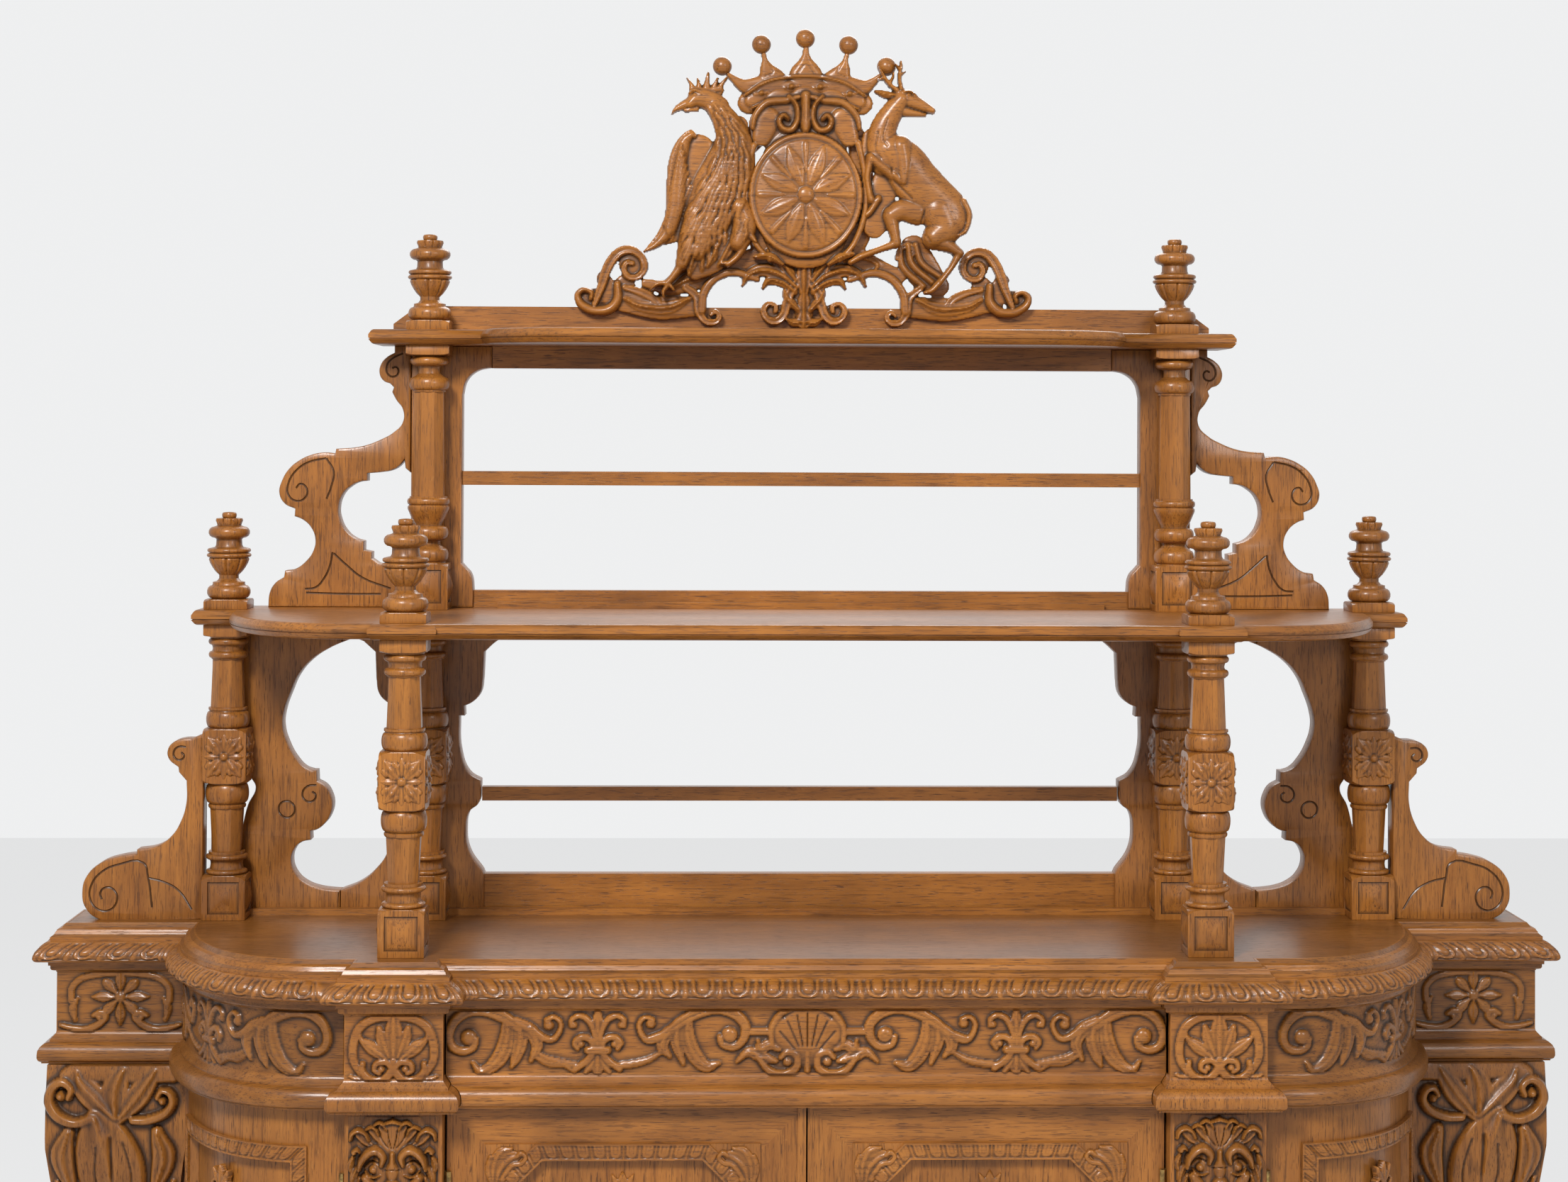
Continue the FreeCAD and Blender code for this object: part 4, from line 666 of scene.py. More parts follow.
lower = lowerColumn("lowerColumn")
upper = upperColumn("upperColumn")
finialTurning = finialPiece("finialTurning")
near, far = ([(side * columnPlaces[word], columnPlaces["rearY"]) for side in (-1, 1)]
             for word in ("x", "outer"))
ahead = [(x, columnPlaces["frontY"]) for x, y in near]
counter, mid, top = (columnPlaces[word] for word in ("counter", "mid", "top"))
for name, source, node, spots in (
        ("frontColumns", lower, "front_columns", [(*spot, counter) for spot in ahead]),
        ("rearColumns", lower, "rear_columns", [(*spot, counter) for spot in near]),
        ("outerColumns", lower, "outer_columns", [(*spot, counter) for spot in far]),
        ("upperColumns", upper, "upper_columns", [(*spot, mid) for spot in near]),
        ("turnedFinials", finialTurning, "finials",
         [(*spot, mid) for spot in ahead + far] + [(*spot, top) for spot in near])):
    setOut(name, source, node, spots)
for spare in (lower, upper, finialTurning):
    bpy.data.objects.remove(spare)
print("columns and finials turned")


# the counter's plan: each moulding follows it at its own reach beyond the face of the frieze
plan = {"centreFace": -217, "pilasterFace": -258, "bowFace": -227, "wingFace": 137, "inner": 619, "outer": 786,
        "side": 1361, "rear": 297, "nose": (830, 23, 250), "flank": (634, 158, 488), "meet": -34.56}


def planRuns(reach):  # corners and arcs of the right half at one reach, from the middle to the back
    noseX, noseY, nose = plan["nose"]
    flankX, flankY, flank = plan["flank"]
    meet = math.radians(plan["meet"])
    end = np.arcsin((plan["wingFace"] - reach - flankY) / (flank + reach))
    inner, outer = plan["inner"] - reach, plan["outer"] + reach
    centre, front, bow = (plan[word] - reach for word in ("centreFace", "pilasterFace", "bowFace"))
    wing, side = plan["wingFace"] - reach, plan["side"] + reach
    flankEnd = flankX + (flank + reach) * np.cos(end)
    return [((0, centre), (inner, centre)), ((inner, centre), (inner, front)), ((inner, front), (outer, front)),
            ((outer, front), (outer, bow)), ((outer, bow), (noseX, bow)),
            (noseX, noseY, nose + reach, -math.pi / 2, meet), (flankX, flankY, flank + reach, meet, end),
            ((flankEnd, wing), (side, wing)), ((side, wing), (side, plan["rear"]))]


def runLength(run):
    if len(run) == 2:
        return math.dist(*run)
    return run[2] * abs(run[4] - run[3])


# where a share along each run lies; reach is an array, one per point
def planSpots(number, share, reach):
    x = np.zeros(len(reach))
    y = np.zeros(len(reach))
    for k in range(9):
        mine = number == k
        run = planRuns(reach[mine])[k]
        f = share[mine]
        if len(run) == 2:
            (ax, ay), (bx, by) = run
            x[mine] = ax + (bx - ax) * f
            y[mine] = ay + (by - ay) * f
        else:
            angle = run[3] + (run[4] - run[3]) * f
            x[mine] = run[0] + run[2] * np.cos(angle)
            y[mine] = run[1] + run[2] * np.sin(angle)
    return x, y


egg = {"section": ((12, 1071), (17, 1069), (24, 1065.5), (30, 1061), (35, 1055), (38.2, 1048), (38.6, 1042),
                   (36, 1038), (29, 1035.6), (14, 1034.6), (13.6, 1031), (13.6, 1027)),
       "reach": 39, "pitch": 58.8, "halfWide": 15, "straight": 26, "lean": 0.16, "step": 2.4, "deepest": 4.2,
       "depth": 8, "back": -28.0, "cornerLeaf": 17, "shortRun": 60}


def eggSurface():  # reach, level and outward slope along the section, from the top
    spots = np.array(egg["section"], float)
    run = np.r_[0, np.cumsum(np.hypot(*np.diff(spots, axis=0).T))]
    fine = np.linspace(0, run[-1], 60)
    reach = np.interp(fine, run, spots[:, 0])
    level = np.interp(fine, run, spots[:, 1])
    dr, dz = np.gradient(reach), np.gradient(level)
    size = np.hypot(dr, dz)
    return fine, reach, level, -dz / size, dr / size


def eggMoulding(name, side):
    fine, reach, level, outR, outZ = eggSurface()
    runs = planRuns(egg["reach"])
    lengths = [runLength(run) for run in runs]
    starts = np.r_[0, np.cumsum(lengths)]
    groups = ((0,), (1,), (2,), (3,), (4, 5, 6), (7,), (8,))

    def along(s):  # run and share along it for a distance from the middle
        number = np.clip(np.searchsorted(starts, s, side="right") - 1, 0, len(runs) - 1)
        return number, (s - starts[number]) / np.array(lengths)[number]

    def eggs(s, v, height):
        down = -v
        pattern = np.full(s.shape, -egg["deepest"])
        for group in groups:
            first, last = starts[group[0]], starts[group[-1] + 1]
            mine = (s >= first) & (s <= last)
            local = s - first
            long = last - first
            corner = np.minimum(local, long - local)
            if group == (0,):
                corner = long - local
            lean = egg["lean"] * np.clip(local / 90 if group == (0,) else 1, 0, 1) * (26 - down)
            if long < egg["shortRun"]:
                u = np.full(s.shape, egg["pitch"] / 2)
            elif group == (0,):
                u = (local + lean + egg["pitch"] / 2) % egg["pitch"] - egg["pitch"] / 2
            else:
                count = max(1, round(long / egg["pitch"]))
                u = (((local + lean) / long * count) % 1 - 0.5) * egg["pitch"]
            below = np.maximum(down - egg["straight"], 0)
            d = np.where(below > 0, np.hypot(u, below), np.abs(u)) - egg["halfWide"]
            e = np.clip((d + 15) / 10.2, 0, 1)
            ball = -egg["deepest"] + 4.6 * np.sqrt(1 - e ** 2)
            rim = -egg["deepest"] + 3.4 * np.sqrt(np.clip(1 - ((d - 0.8) / 3.4) ** 2, 0, 1))
            dart = -egg["deepest"] + 3.4 * np.clip(1 - (egg["pitch"] / 2 - np.abs(u)) / (2.6 + 0.07 * down), 0, 1)
            here = np.maximum(np.maximum(ball, rim), dart)
            leaf = -0.9 - 2.2 * np.abs(np.sin(corner * 0.33 + down * 0.05)) ** 3
            here = np.where(corner < egg["cornerLeaf"], leaf, here)
            pattern = np.where(mine, here, pattern)
        edge = np.clip((down - 3) / 3, 0, 1) * np.clip((51 - down) / 5, 0, 1)
        return np.clip(pattern, -egg["deepest"], 0) * edge

    def place(s, v, height):
        number, share = along(s)
        d = -v
        back = height < -6
        r = np.where(back, egg["back"], np.interp(d, fine, reach) + np.interp(d, fine, outR) * height)
        z = np.interp(d, fine, level) + np.where(back, 0, np.interp(d, fine, outZ) * height)
        x, y = planSpots(number, share, r)
        return side * x, y, z

    return carved(name, (0, starts[-1], -fine[-1], 0), egg["step"], [], place, depth=egg["depth"], shape=eggs)


for word, side in (("Left", -1), ("Right", 1)):
    dress(eggMoulding("eggMoulding" + word, side), oakCarved, replaced=["egg_moulding"], smooth=50)
print("egg moulding carved")


# mouldings that follow the counter's plan, each run mitred to the next
friezeSection = [(10, 1027), (10, 1021), (8, 1018), (4, 1016.4), (2, 1016), (0, 1013), (0, 906), (1, 902),
                 (3, 899.5), (9, 893), (10, 892), (10, 889), (14, 888), (20, 885.5), (25, 881), (28.2, 875),
                 (29, 868), (29, 862), (27, 857), (22, 853.5), (22, 851.5), (2, 851)]
slabSection = [(-13, 1100.4), (-12, 1097.5), (-9, 1094), (-4, 1092), (0.6, 1090.6), (1, 1089), (3.4, 1086),
               (5.4, 1081), (6, 1079), (11, 1078), (11, 1071.2)]


# number is the run of the plan, 0 the middle one over its whole width; inner is the moulding's depth behind
def swept(name, number, section, columns, inner, side=1, gap=0):
    count = len(section)
    bm = bmesh.new()
    bmesh.ops.create_grid(bm, x_segments=columns, y_segments=count - 1, size=0.5)
    thickened(bm)
    mesh = meshFrom(name, bm)
    spots = spotsOf(mesh)
    shows = fieldOf(mesh, "front") > 0.5
    place = np.rint((spots[:, 1] + 0.5) * (count - 1)).astype(int)
    reach, z = np.array(section, float)[place].T
    share = spots[:, 0] + 0.5
    if number:
        low = min(r for r, level in section) - inner
        x, y = planSpots(np.full(len(share), number), share, np.where(shows, reach, low))
    else:
        x = (2 * share - 1) * (plan["inner"] - reach - gap)
        y = plan["centreFace"] - np.where(shows, reach, -inner)
    movedTo(mesh, [side * x, y, z])
    return linked(name, mesh)


runColumns = {1: 1, 2: 1, 3: 1, 4: 2, 5: 26, 6: 30, 7: 1, 8: 1}


def sweptRuns(name, numbers, section, inner, side):
    return [swept(f"{name}{k}", k, section, runColumns[k], inner, side) for k in numbers]


pilaster = {"rear": -184, "foot": 170, "base": 252, "ogee": 262, "die": 852, "head": 1026}
for word, side in (("Left", -1), ("Right", 1)):
    low = word.lower()
    dress(joinedPiece("friezeMoulding" + word, sweptRuns("frieze" + word, (4, 5, 6, 7, 8), friezeSection, 34, side)),
          oakSidePaintedShade, replaced=["frieze_" + low], smooth=25)
    parts = sweptRuns("pilaster" + word, (1, 2, 3), friezeSection, 30, side)
    for label, out, ahead, start, end, edge in (  # how far each block stands out sideways and forwards
            ("die", -0.5, -4, "foot", "die", 1.5), ("base", 14, 14, "foot", "base", 3),
            ("cap", 10, 6, "base", "ogee", 4), ("core", 0, -20, "die", "head", 1)):
        x = sorted((side * (plan["inner"] - out), side * (plan["outer"] + out)))
        parts.append(pieceFrom(label + word, block((x[0], plan["pilasterFace"] - ahead, pilaster[start]),
                                                   (x[1], pilaster["rear"], pilaster[end]), edge)))
    dress(joinedPiece("pilaster" + word, parts), oakUpright, replaced=["pilaster_" + low], smooth=25)
    dress(joinedPiece("slabMoulding" + word, sweptRuns("slab" + word, range(1, 9), slabSection, 3, side)),
          oakAcross, smooth=25)
dress(swept("slabMouldingMiddle", 0, slabSection, 1, 3), oakAcross, smooth=25)
dress(swept("drawerMoulding", 0, friezeSection, 1, 22, gap=1.2), oakAcross, body="centre_drawer",
      replaced=["centre_drawer_front"], smooth=25)
print("mouldings run")


# carvings of the friezes, each drawn in its drawing's own units
friezeDrawing = {"unit": 0.51, "middle": 1567, "level": 1044.4}
scrollEnd = [
    ("f", 9, [(600, 118, 16), (540, 78, 22), (480, 60, 20), (425, 66, 18), (382, 98, 17), (364, 145, 16),
              (378, 182, 15), (412, 196, 14), (446, 184, 12), (456, 156, 10)]),
    dot("r", 11, 432, 150, 27),
    ("v", 3, [(590, 104, 3), (530, 72, 3), (470, 62, 3), (420, 72, 3), (385, 105, 3), (372, 148, 3)]),
    ("l", 10, [(560, 90, 18), (560, 140, 24), (545, 200, 28), (510, 245, 22), (470, 262, 14), (446, 236, 6)]),
    ("l", 10, [(600, 110, 16), (605, 160, 24), (590, 215, 18), (575, 248, 6)]),
    ("l", 11, [(590, 100, 18), (640, 130, 24), (660, 175, 20), (640, 228, 7)]),
    ("f", 10, [(640, 120, 14), (680, 150, 13), (712, 156, 11), (735, 130, 9), (738, 100, 8), (715, 82, 8),
               (692, 92, 9)]),
    dot("r", 11, 698, 108, 17), ("l", 8, [(655, 215, 8), (700, 235, 14), (750, 240, 12), (785, 268, 4)]),
]
fleur = [
    ("l", 11, [(863, 175, 10), (863, 120, 22), (863, 80, 15), (863, 50, 4)]),
    ("f", 9, [(858, 182, 8), (850, 130, 10), (830, 92, 11), (800, 78, 10), (776, 92, 9), (776, 112, 9)]),
    ("f", 9, [(868, 182, 8), (876, 130, 10), (896, 92, 11), (926, 78, 10), (950, 92, 9), (950, 112, 9)]),
    dot("r", 10, 783, 108, 12), dot("r", 10, 942, 108, 12),
    ("f", 9, [(790, 255, 12), (830, 225, 13), (850, 190, 12), (838, 158, 12), (808, 150, 12), (786, 168, 10),
              (796, 188, 8)]),
    ("f", 9, [(936, 255, 12), (896, 225, 13), (876, 190, 12), (888, 158, 12), (918, 150, 12), (940, 168, 10),
              (930, 188, 8)]),
    dot("r", 10, 806, 172, 12), ("r", 10, [(920, 172, 12), (919, 173, 12)]),
    ("f", 12, [(832, 193, 15), (894, 193, 15)]), ("l", 10, [(863, 215, 14), (863, 245, 22), (863, 275, 10)]),
    ("l", 9, [(852, 225, 8), (836, 250, 13), (822, 268, 6)]),
    ("l", 9, [(874, 225, 8), (890, 250, 13), (904, 268, 6)]),
    ("l", 8, [(800, 246, 12), (750, 236, 13), (700, 222, 10), (668, 205, 5)]),
    ("l", 8, [(926, 246, 12), (980, 240, 13), (1035, 225, 11), (1085, 195, 6)]),
]
scrollInner = [
    ("f", 9, [(1030, 158, 12), (1090, 138, 16), (1140, 100, 19), (1200, 68, 20), (1265, 56, 18), (1325, 74, 18),
              (1358, 112, 17), (1352, 156, 15), (1322, 182, 14), (1284, 176, 12), (1272, 150, 10)]),
    dot("r", 11, 1305, 143, 27),
    ("v", 3, [(1110, 120, 3), (1170, 82, 3), (1240, 60, 3), (1305, 68, 3), (1345, 105, 3)]),
    ("l", 10, [(1165, 95, 16), (1165, 150, 24), (1185, 205, 26), (1225, 248, 20), (1268, 238, 8)]),
    ("l", 10, [(1130, 115, 14), (1128, 165, 22), (1150, 240, 7)]),
    ("l", 11, [(1140, 105, 14), (1095, 140, 22), (1080, 180, 20), (1105, 215, 7)]),
    ("f", 10, [(1075, 150, 12), (1035, 162, 12), (1010, 140, 10), (1002, 105, 9), (1022, 84, 8), (1048, 92, 8)]),
    dot("r", 11, 1040, 104, 16), ("f", 7, [(1370, 132, 13), (1440, 132, 13)]),
]
shellHalf = [
    ("f", 8, [(1567, 160, 26), (1500, 150, 44), (1480, 120, 36)]), dot("f", 9, 1567, 150, 104),
    ("r", 10, [(1448, 170, 10), (1446, 120, 12), (1480, 70, 13), (1530, 46, 13), (1567, 42, 13)]),
    ("v", 6, [(1567, 70, 4), (1567, 180, 4)]), ("v", 6, [(1532, 76, 4), (1552, 180, 4)]),
    ("v", 6, [(1500, 96, 4), (1538, 180, 4)]), ("v", 6, [(1474, 130, 4), (1524, 188, 4)]),
    ("l", 11, [(1470, 190, 10), (1440, 175, 18), (1410, 190, 16), (1400, 160, 5)]),
    ("l", 11, [(1460, 230, 10), (1410, 215, 20), (1370, 200, 16), (1330, 232, 6)]),
    ("f", 12, [(1400, 215, 10), (1440, 262, 13), (1490, 274, 15), (1530, 250, 14), (1530, 212, 12), (1500, 200, 11),
               (1478, 218, 9)]),
    dot("r", 12, 1500, 232, 16), ("r", 11, [(1567, 200, 12), (1567, 262, 10)]),
]
centreHalf = fromDrawing(friezeDrawing, scrollEnd + fleur + scrollInner + shellHalf)
centreCarving = {"area": (-616, 616, 907, 1012), "step": 2.1}
sunk = 0.3  # how far a carving starts outside the face it lies on
dress(carved("centreFriezeCarving", centreCarving["area"], centreCarving["step"], centreHalf + turnedOver(centreHalf),
             facing(0, plan["centreFace"] - sunk)), oakCarved, body="centre_drawer", smooth=50)

bowCarving = {"area": (4, 560, 907, 1012), "step": 2.3}


def bowSpot(s, reach):  # a distance along the bow from the pilaster, for arrays
    lengths = [runLength(run) for run in planRuns(0)[4:7]]
    starts = np.r_[0, np.cumsum(lengths)]
    number = np.clip(np.searchsorted(starts, s, side="right") - 1, 0, 2)
    share = (s - starts[number]) / np.array(lengths)[number]
    return planSpots(number + 4, share, reach)


def bowFrieze(name, side):
    strokes = fromDrawing({"unit": 0.51, "middle": 303, "level": 1044.4}, scrollEnd + fleur + scrollInner[:-1])

    def place(x, y, h):
        bx, by = bowSpot(x, sunk + flatter(h))
        return side * bx, by, y

    dress(carved(name, bowCarving["area"], bowCarving["step"], strokes, place), oakCarvedSidePaintedShade, smooth=50)


for word, side in (("Left", -1), ("Right", 1)):
    bowFrieze("bowFriezeCarving" + word, side)

panelDrawing = {"unit": 0.505, "middle": 175, "level": 1052.4}
panelHalf = [
    ("f", 7, [(175, 82, 13), (110, 88, 14), (62, 118, 15), (42, 170, 15), (42, 225, 14), (66, 268, 13)]),
    ("l", 11, [(175, 210, 14), (175, 140, 30), (175, 100, 20), (175, 74, 6)]),
    ("l", 10, [(160, 215, 10), (140, 160, 22), (126, 118, 8)]),
    ("l", 10, [(150, 220, 10), (110, 190, 22), (70, 160, 10), (62, 142, 5)]),
    ("f", 10, [(176, 228, 12), (168, 262, 15), (140, 292, 16), (98, 290, 15), (72, 262, 12), (72, 236, 9)]),
    ("f", 11, [(170, 250, 12), (150, 232, 12), (120, 236, 11), (112, 258, 9), (128, 270, 8)]),
    dot("r", 12, 134, 255, 13), ("l", 8, [(80, 285, 10), (50, 288, 10), (30, 280, 4)]),
]
pilasterCarving = {"area": (-82, 82, 907, 1012), "step": 1.8}
panelFace = plan["pilasterFace"]
middle = (plan["inner"] + plan["outer"]) / 2
half = fromDrawing(panelDrawing, panelHalf)
for word, side in (("Left", -1), ("Right", 1)):
    dress(carved("pilasterPanel" + word, pilasterCarving["area"], pilasterCarving["step"], half + turnedOver(half),
                 facing(side * middle, panelFace - sunk)), oakCarved, smooth=50)

wingDrawing = {"unit": 0.431, "middle": 522, "level": 1000}


def wingStrokes():
    strokes = [("r", 12, [(522, 74, 25), (523, 74, 25)])]
    for k in range(8):
        turn = math.radians(45 * k)
        c, s = math.cos(turn), math.sin(turn)
        far = 118 if k % 2 == 0 else 98
        strokes.append(("l", 10, [(522 + 26 * c, 74 + 26 * s, 8), (522 + 72 * c, 74 + 72 * s, 21),
                                  (522 + far * c, 74 + far * s, 5)]))
    for way in (-1, 1):
        strokes.append(("f", 9, [(522 + way * u, v, w) for u, v, w in (
            (250, 192, 9), (205, 205, 13), (150, 212, 16), (100, 195, 16), (62, 160, 14), (84, 138, 12),
            (112, 152, 10))]))
        strokes.append(("r", 11, [(522 + way * 88, 160, 15), (522 + way * 89, 160, 15)]))
        strokes.append(("l", 8, [(522 + way * 190, 170, 10), (522 + way * 200, 120, 16), (522 + way * 180, 80, 6)]))
        strokes.append(("f", 6, [(522 + way * u, v, w) for u, v, w in (
            (205, 90, 14), (205, 40, 14), (170, 0, 14), (100, -20, 14), (0, -28, 14))]))
    return strokes


wingCarving = {"area": (-114, 114, 907, 1012), "step": 2.0}
wingMiddle = 1245
for word, side in (("Left", -1), ("Right", 1)):
    dress(carved("wingPanel" + word, wingCarving["area"], wingCarving["step"], fromDrawing(wingDrawing, wingStrokes()),
                 facing(side * wingMiddle, plan["wingFace"] - sunk)), oakCarvedSidePaintedShade, smooth=50)
print("friezes carved")


# the cresting, drawn in units of 0.5785 mm: scrollwork, shield, crown and the two animals beside it
crest = {"unit": 0.5785, "middle": 770, "level": 2790.5, "step": 2.0, "cut": 1.2, "rear": 244, "front": 222,
         "balls": 236, "ballShare": 0.97}
scrollwork = [
    ("f", 6, [(212, 815, 46), (214, 816, 46)]), ("f", 6, [(1330, 815, 46), (1332, 816, 46)]),
    ("f", 6, [(120, 860, 26), (150, 920, 40), (190, 880, 36)]),
    ("f", 6, [(1420, 860, 26), (1392, 920, 40), (1352, 880, 36)]), dot("f", 6, 84, 925, 36, 0),
    dot("f", 6, 1462, 925, 36, 0), ("f", 6, [(1130, 760, 50), (1160, 830, 60), (1210, 880, 40)]),
    dot("f", 6, 676, 968, 32, 0), dot("f", 6, 868, 968, 32, 0),
    ("f", 7, [(185, 935, 38), (300, 955, 42), (425, 950, 36)]),
    ("f", 7, [(1125, 950, 38), (1250, 955, 42), (1370, 935, 36)]),
    ("f", 8, [(255, 875, 16), (330, 888, 28), (420, 862, 38), (520, 820, 36), (610, 790, 36)]),
    ("f", 9, [(612, 560, 30), (622, 700, 44), (660, 780, 46)]),
    ("f", 9, [(945, 400, 36), (965, 600, 44), (935, 730, 50), (880, 785, 44)]),
    ("f", 9, [(640, 350, 52), (600, 430, 24)]), ("f", 9, [(905, 350, 52), (950, 420, 28)]),
    ("f", 8, [(700, 800, 56), (775, 830, 60), (850, 800, 56)]),
    ("f", 8, [(930, 780, 40), (1010, 820, 34), (1080, 850, 28)]),
    ("f", 8, [(772, 840, 44), (772, 920, 34), (772, 985, 32)]),
    ("f", 15, [(440, 965, 15), (448, 905, 16), (485, 858, 15), (545, 840, 14), (620, 862, 11)]),
    ("f", 15, [(1102, 965, 15), (1094, 905, 16), (1056, 858, 15), (998, 840, 14), (920, 862, 11)]),
    ("c", 21, [(92, 945, 8), (112, 890, 14), (136, 820, 18), (170, 776, 17), (212, 768, 15), (246, 792, 13),
               (253, 830, 12), (232, 856, 11), (202, 856, 10), (186, 832, 9), (196, 810, 8), (214, 812, 7)]),
    ("c", 21, [(1452, 945, 8), (1430, 890, 14), (1405, 822, 18), (1372, 776, 17), (1330, 768, 15), (1297, 790, 13),
               (1290, 828, 12), (1310, 855, 11), (1340, 856, 10), (1356, 832, 9), (1346, 810, 8), (1328, 812, 7)]),
    ("r", 17, [(166, 880, 12), (166, 930, 17), (138, 962, 18), (88, 966, 17), (48, 946, 15), (36, 916, 13),
               (56, 898, 11), (82, 908, 9), (80, 928, 7)]),
    ("r", 17, [(1378, 880, 12), (1378, 930, 17), (1408, 962, 18), (1455, 966, 17), (1494, 946, 15), (1506, 918, 13),
               (1486, 900, 11), (1462, 910, 9), (1466, 930, 7)]),
    ("c", 19, [(388, 890, 12), (424, 920, 15), (432, 968, 15), (452, 998, 13), (482, 1002, 12), (498, 984, 10),
               (484, 966, 9), (470, 978, 7)]),
    ("c", 19, [(1150, 890, 12), (1114, 920, 15), (1106, 968, 15), (1088, 998, 13), (1058, 1002, 12), (1042, 984, 10),
               (1056, 966, 9), (1070, 978, 7)]),
    ("c", 22, [(757, 862, 12), (730, 900, 15), (716, 938, 16), (708, 974, 15), (682, 998, 14), (652, 990, 12),
               (640, 962, 11), (656, 940, 9), (680, 946, 8), (680, 964, 7)]),
    ("c", 22, [(787, 862, 12), (814, 900, 15), (828, 938, 16), (838, 974, 15), (864, 998, 14), (894, 990, 12),
               (906, 962, 11), (890, 940, 9), (866, 946, 8), (866, 964, 7)]),
]
for way, foot in ((-1, 745), (1, 800)):  # acanthus that springs from the middle
    for points in (((0, 885, 12), (46, 848, 22), (105, 832, 22), (152, 848, 15), (172, 882, 7)),
                   ((4, 900, 12), (44, 872, 17), (86, 866, 15), (106, 890, 7)),
                   ((2, 862, 12), (36, 818, 19), (74, 790, 17), (90, 768, 7)),
                   ((-8, 960, 10), (22, 930, 16), (38, 900, 7)), ((-20, 1000, 12), (8, 1002, 14), (26, 992, 7))):
        scrollwork.append(("l", 20, [(foot + way * u, v, w) for u, v, w in points]))
scrollwork += [
    ("l", 23, [(772, 800, 18), (772, 850, 26), (772, 900, 16)]),
    ("l", 21, [(772, 905, 10), (772, 935, 20), (772, 965, 8)]),
    ("l", 20, [(772, 965, 10), (772, 995, 26), (772, 1016, 10)]), dot("r", 24, 772, 788, 34),
    ("l", 15, [(400, 925, 8), (330, 955, 22), (240, 950, 18), (190, 925, 8)]),
    ("l", 15, [(1140, 925, 8), (1210, 955, 22), (1300, 950, 18), (1350, 925, 8)]),
    ("c", 15, [(190, 890, 9), (245, 905, 14), (290, 930, 13), (305, 955, 8)]),
    ("c", 15, [(1350, 890, 9), (1290, 905, 14), (1250, 930, 13), (1240, 965, 8)]),
    ("l", 16, [(340, 890, 9), (400, 862, 18), (470, 850, 8)]),
    ("c", 15, [(380, 880, 7), (440, 840, 12), (480, 850, 7)]),
    ("r", 13, [(1085, 755, 10), (1095, 820, 13), (1160, 880, 12)]),
    ("r", 14, [(1110, 745, 10), (1125, 810, 13), (1190, 868, 11)]),
    ("r", 15, [(1135, 745, 9), (1155, 805, 12), (1215, 850, 9)]),
    ("c", 17, [(1075, 790, 8), (1085, 760, 10), (1110, 748, 10), (1132, 762, 9), (1122, 784, 7)]),
    ("r", 12, [(330, 890, 12), (355, 850, 13), (380, 830, 10)]),
    ("l", 14, [(900, 800, 8), (960, 790, 16), (1010, 810, 18), (1000, 835, 7)]),
    ("l", 17, [(650, 790, 8), (690, 812, 15), (712, 850, 6)]),
    ("l", 17, [(895, 790, 8), (858, 812, 15), (838, 850, 6)]),
]
shieldStrokes = [
    ("f", 6, [(690, 300, 60), (690, 360, 84)]), ("f", 6, [(858, 300, 60), (858, 360, 84)]),
    ("f", 7, [(774, 290, 60), (774, 360, 90)]),
    ("r", 18, [(752, 272, 10), (712, 282, 12), (650, 290, 14), (612, 330, 13), (602, 372, 9)]),
    ("r", 18, [(794, 272, 10), (834, 282, 12), (896, 290, 14), (938, 330, 13), (950, 372, 9)]),
    ("f", 12, [(650, 345, 46), (632, 400, 34)]), ("f", 12, [(896, 345, 46), (916, 400, 34)]),
    ("r", 24, [(720, 270, 7), (745, 300, 9), (748, 345, 11), (728, 378, 12), (700, 374, 11), (688, 350, 10),
               (702, 332, 9), (716, 342, 7)]),
    ("r", 24, [(828, 270, 7), (802, 300, 9), (798, 345, 11), (818, 378, 12), (846, 374, 11), (858, 350, 10),
               (844, 332, 9), (830, 342, 7)]),
    ("r", 27, [(774, 268, 18), (774, 320, 19), (774, 355, 22), (774, 378, 14)]),
    ("v", 3, [(767, 290, 2.5), (767, 350, 2.5)]), ("v", 3, [(781, 290, 2.5), (781, 350, 2.5)]),
    ("r", 14, [(606, 430, 14), (584, 520, 12), (584, 640, 12), (610, 740, 12), (660, 800, 10)]),
    ("r", 14, [(946, 420, 14), (966, 520, 12), (968, 640, 12), (936, 740, 12), (886, 800, 10)]),
    ("l", 20, [(610, 790, 8), (660, 790, 14), (700, 815, 6)]),
    ("l", 20, [(930, 780, 8), (890, 790, 14), (850, 815, 6)]),
]
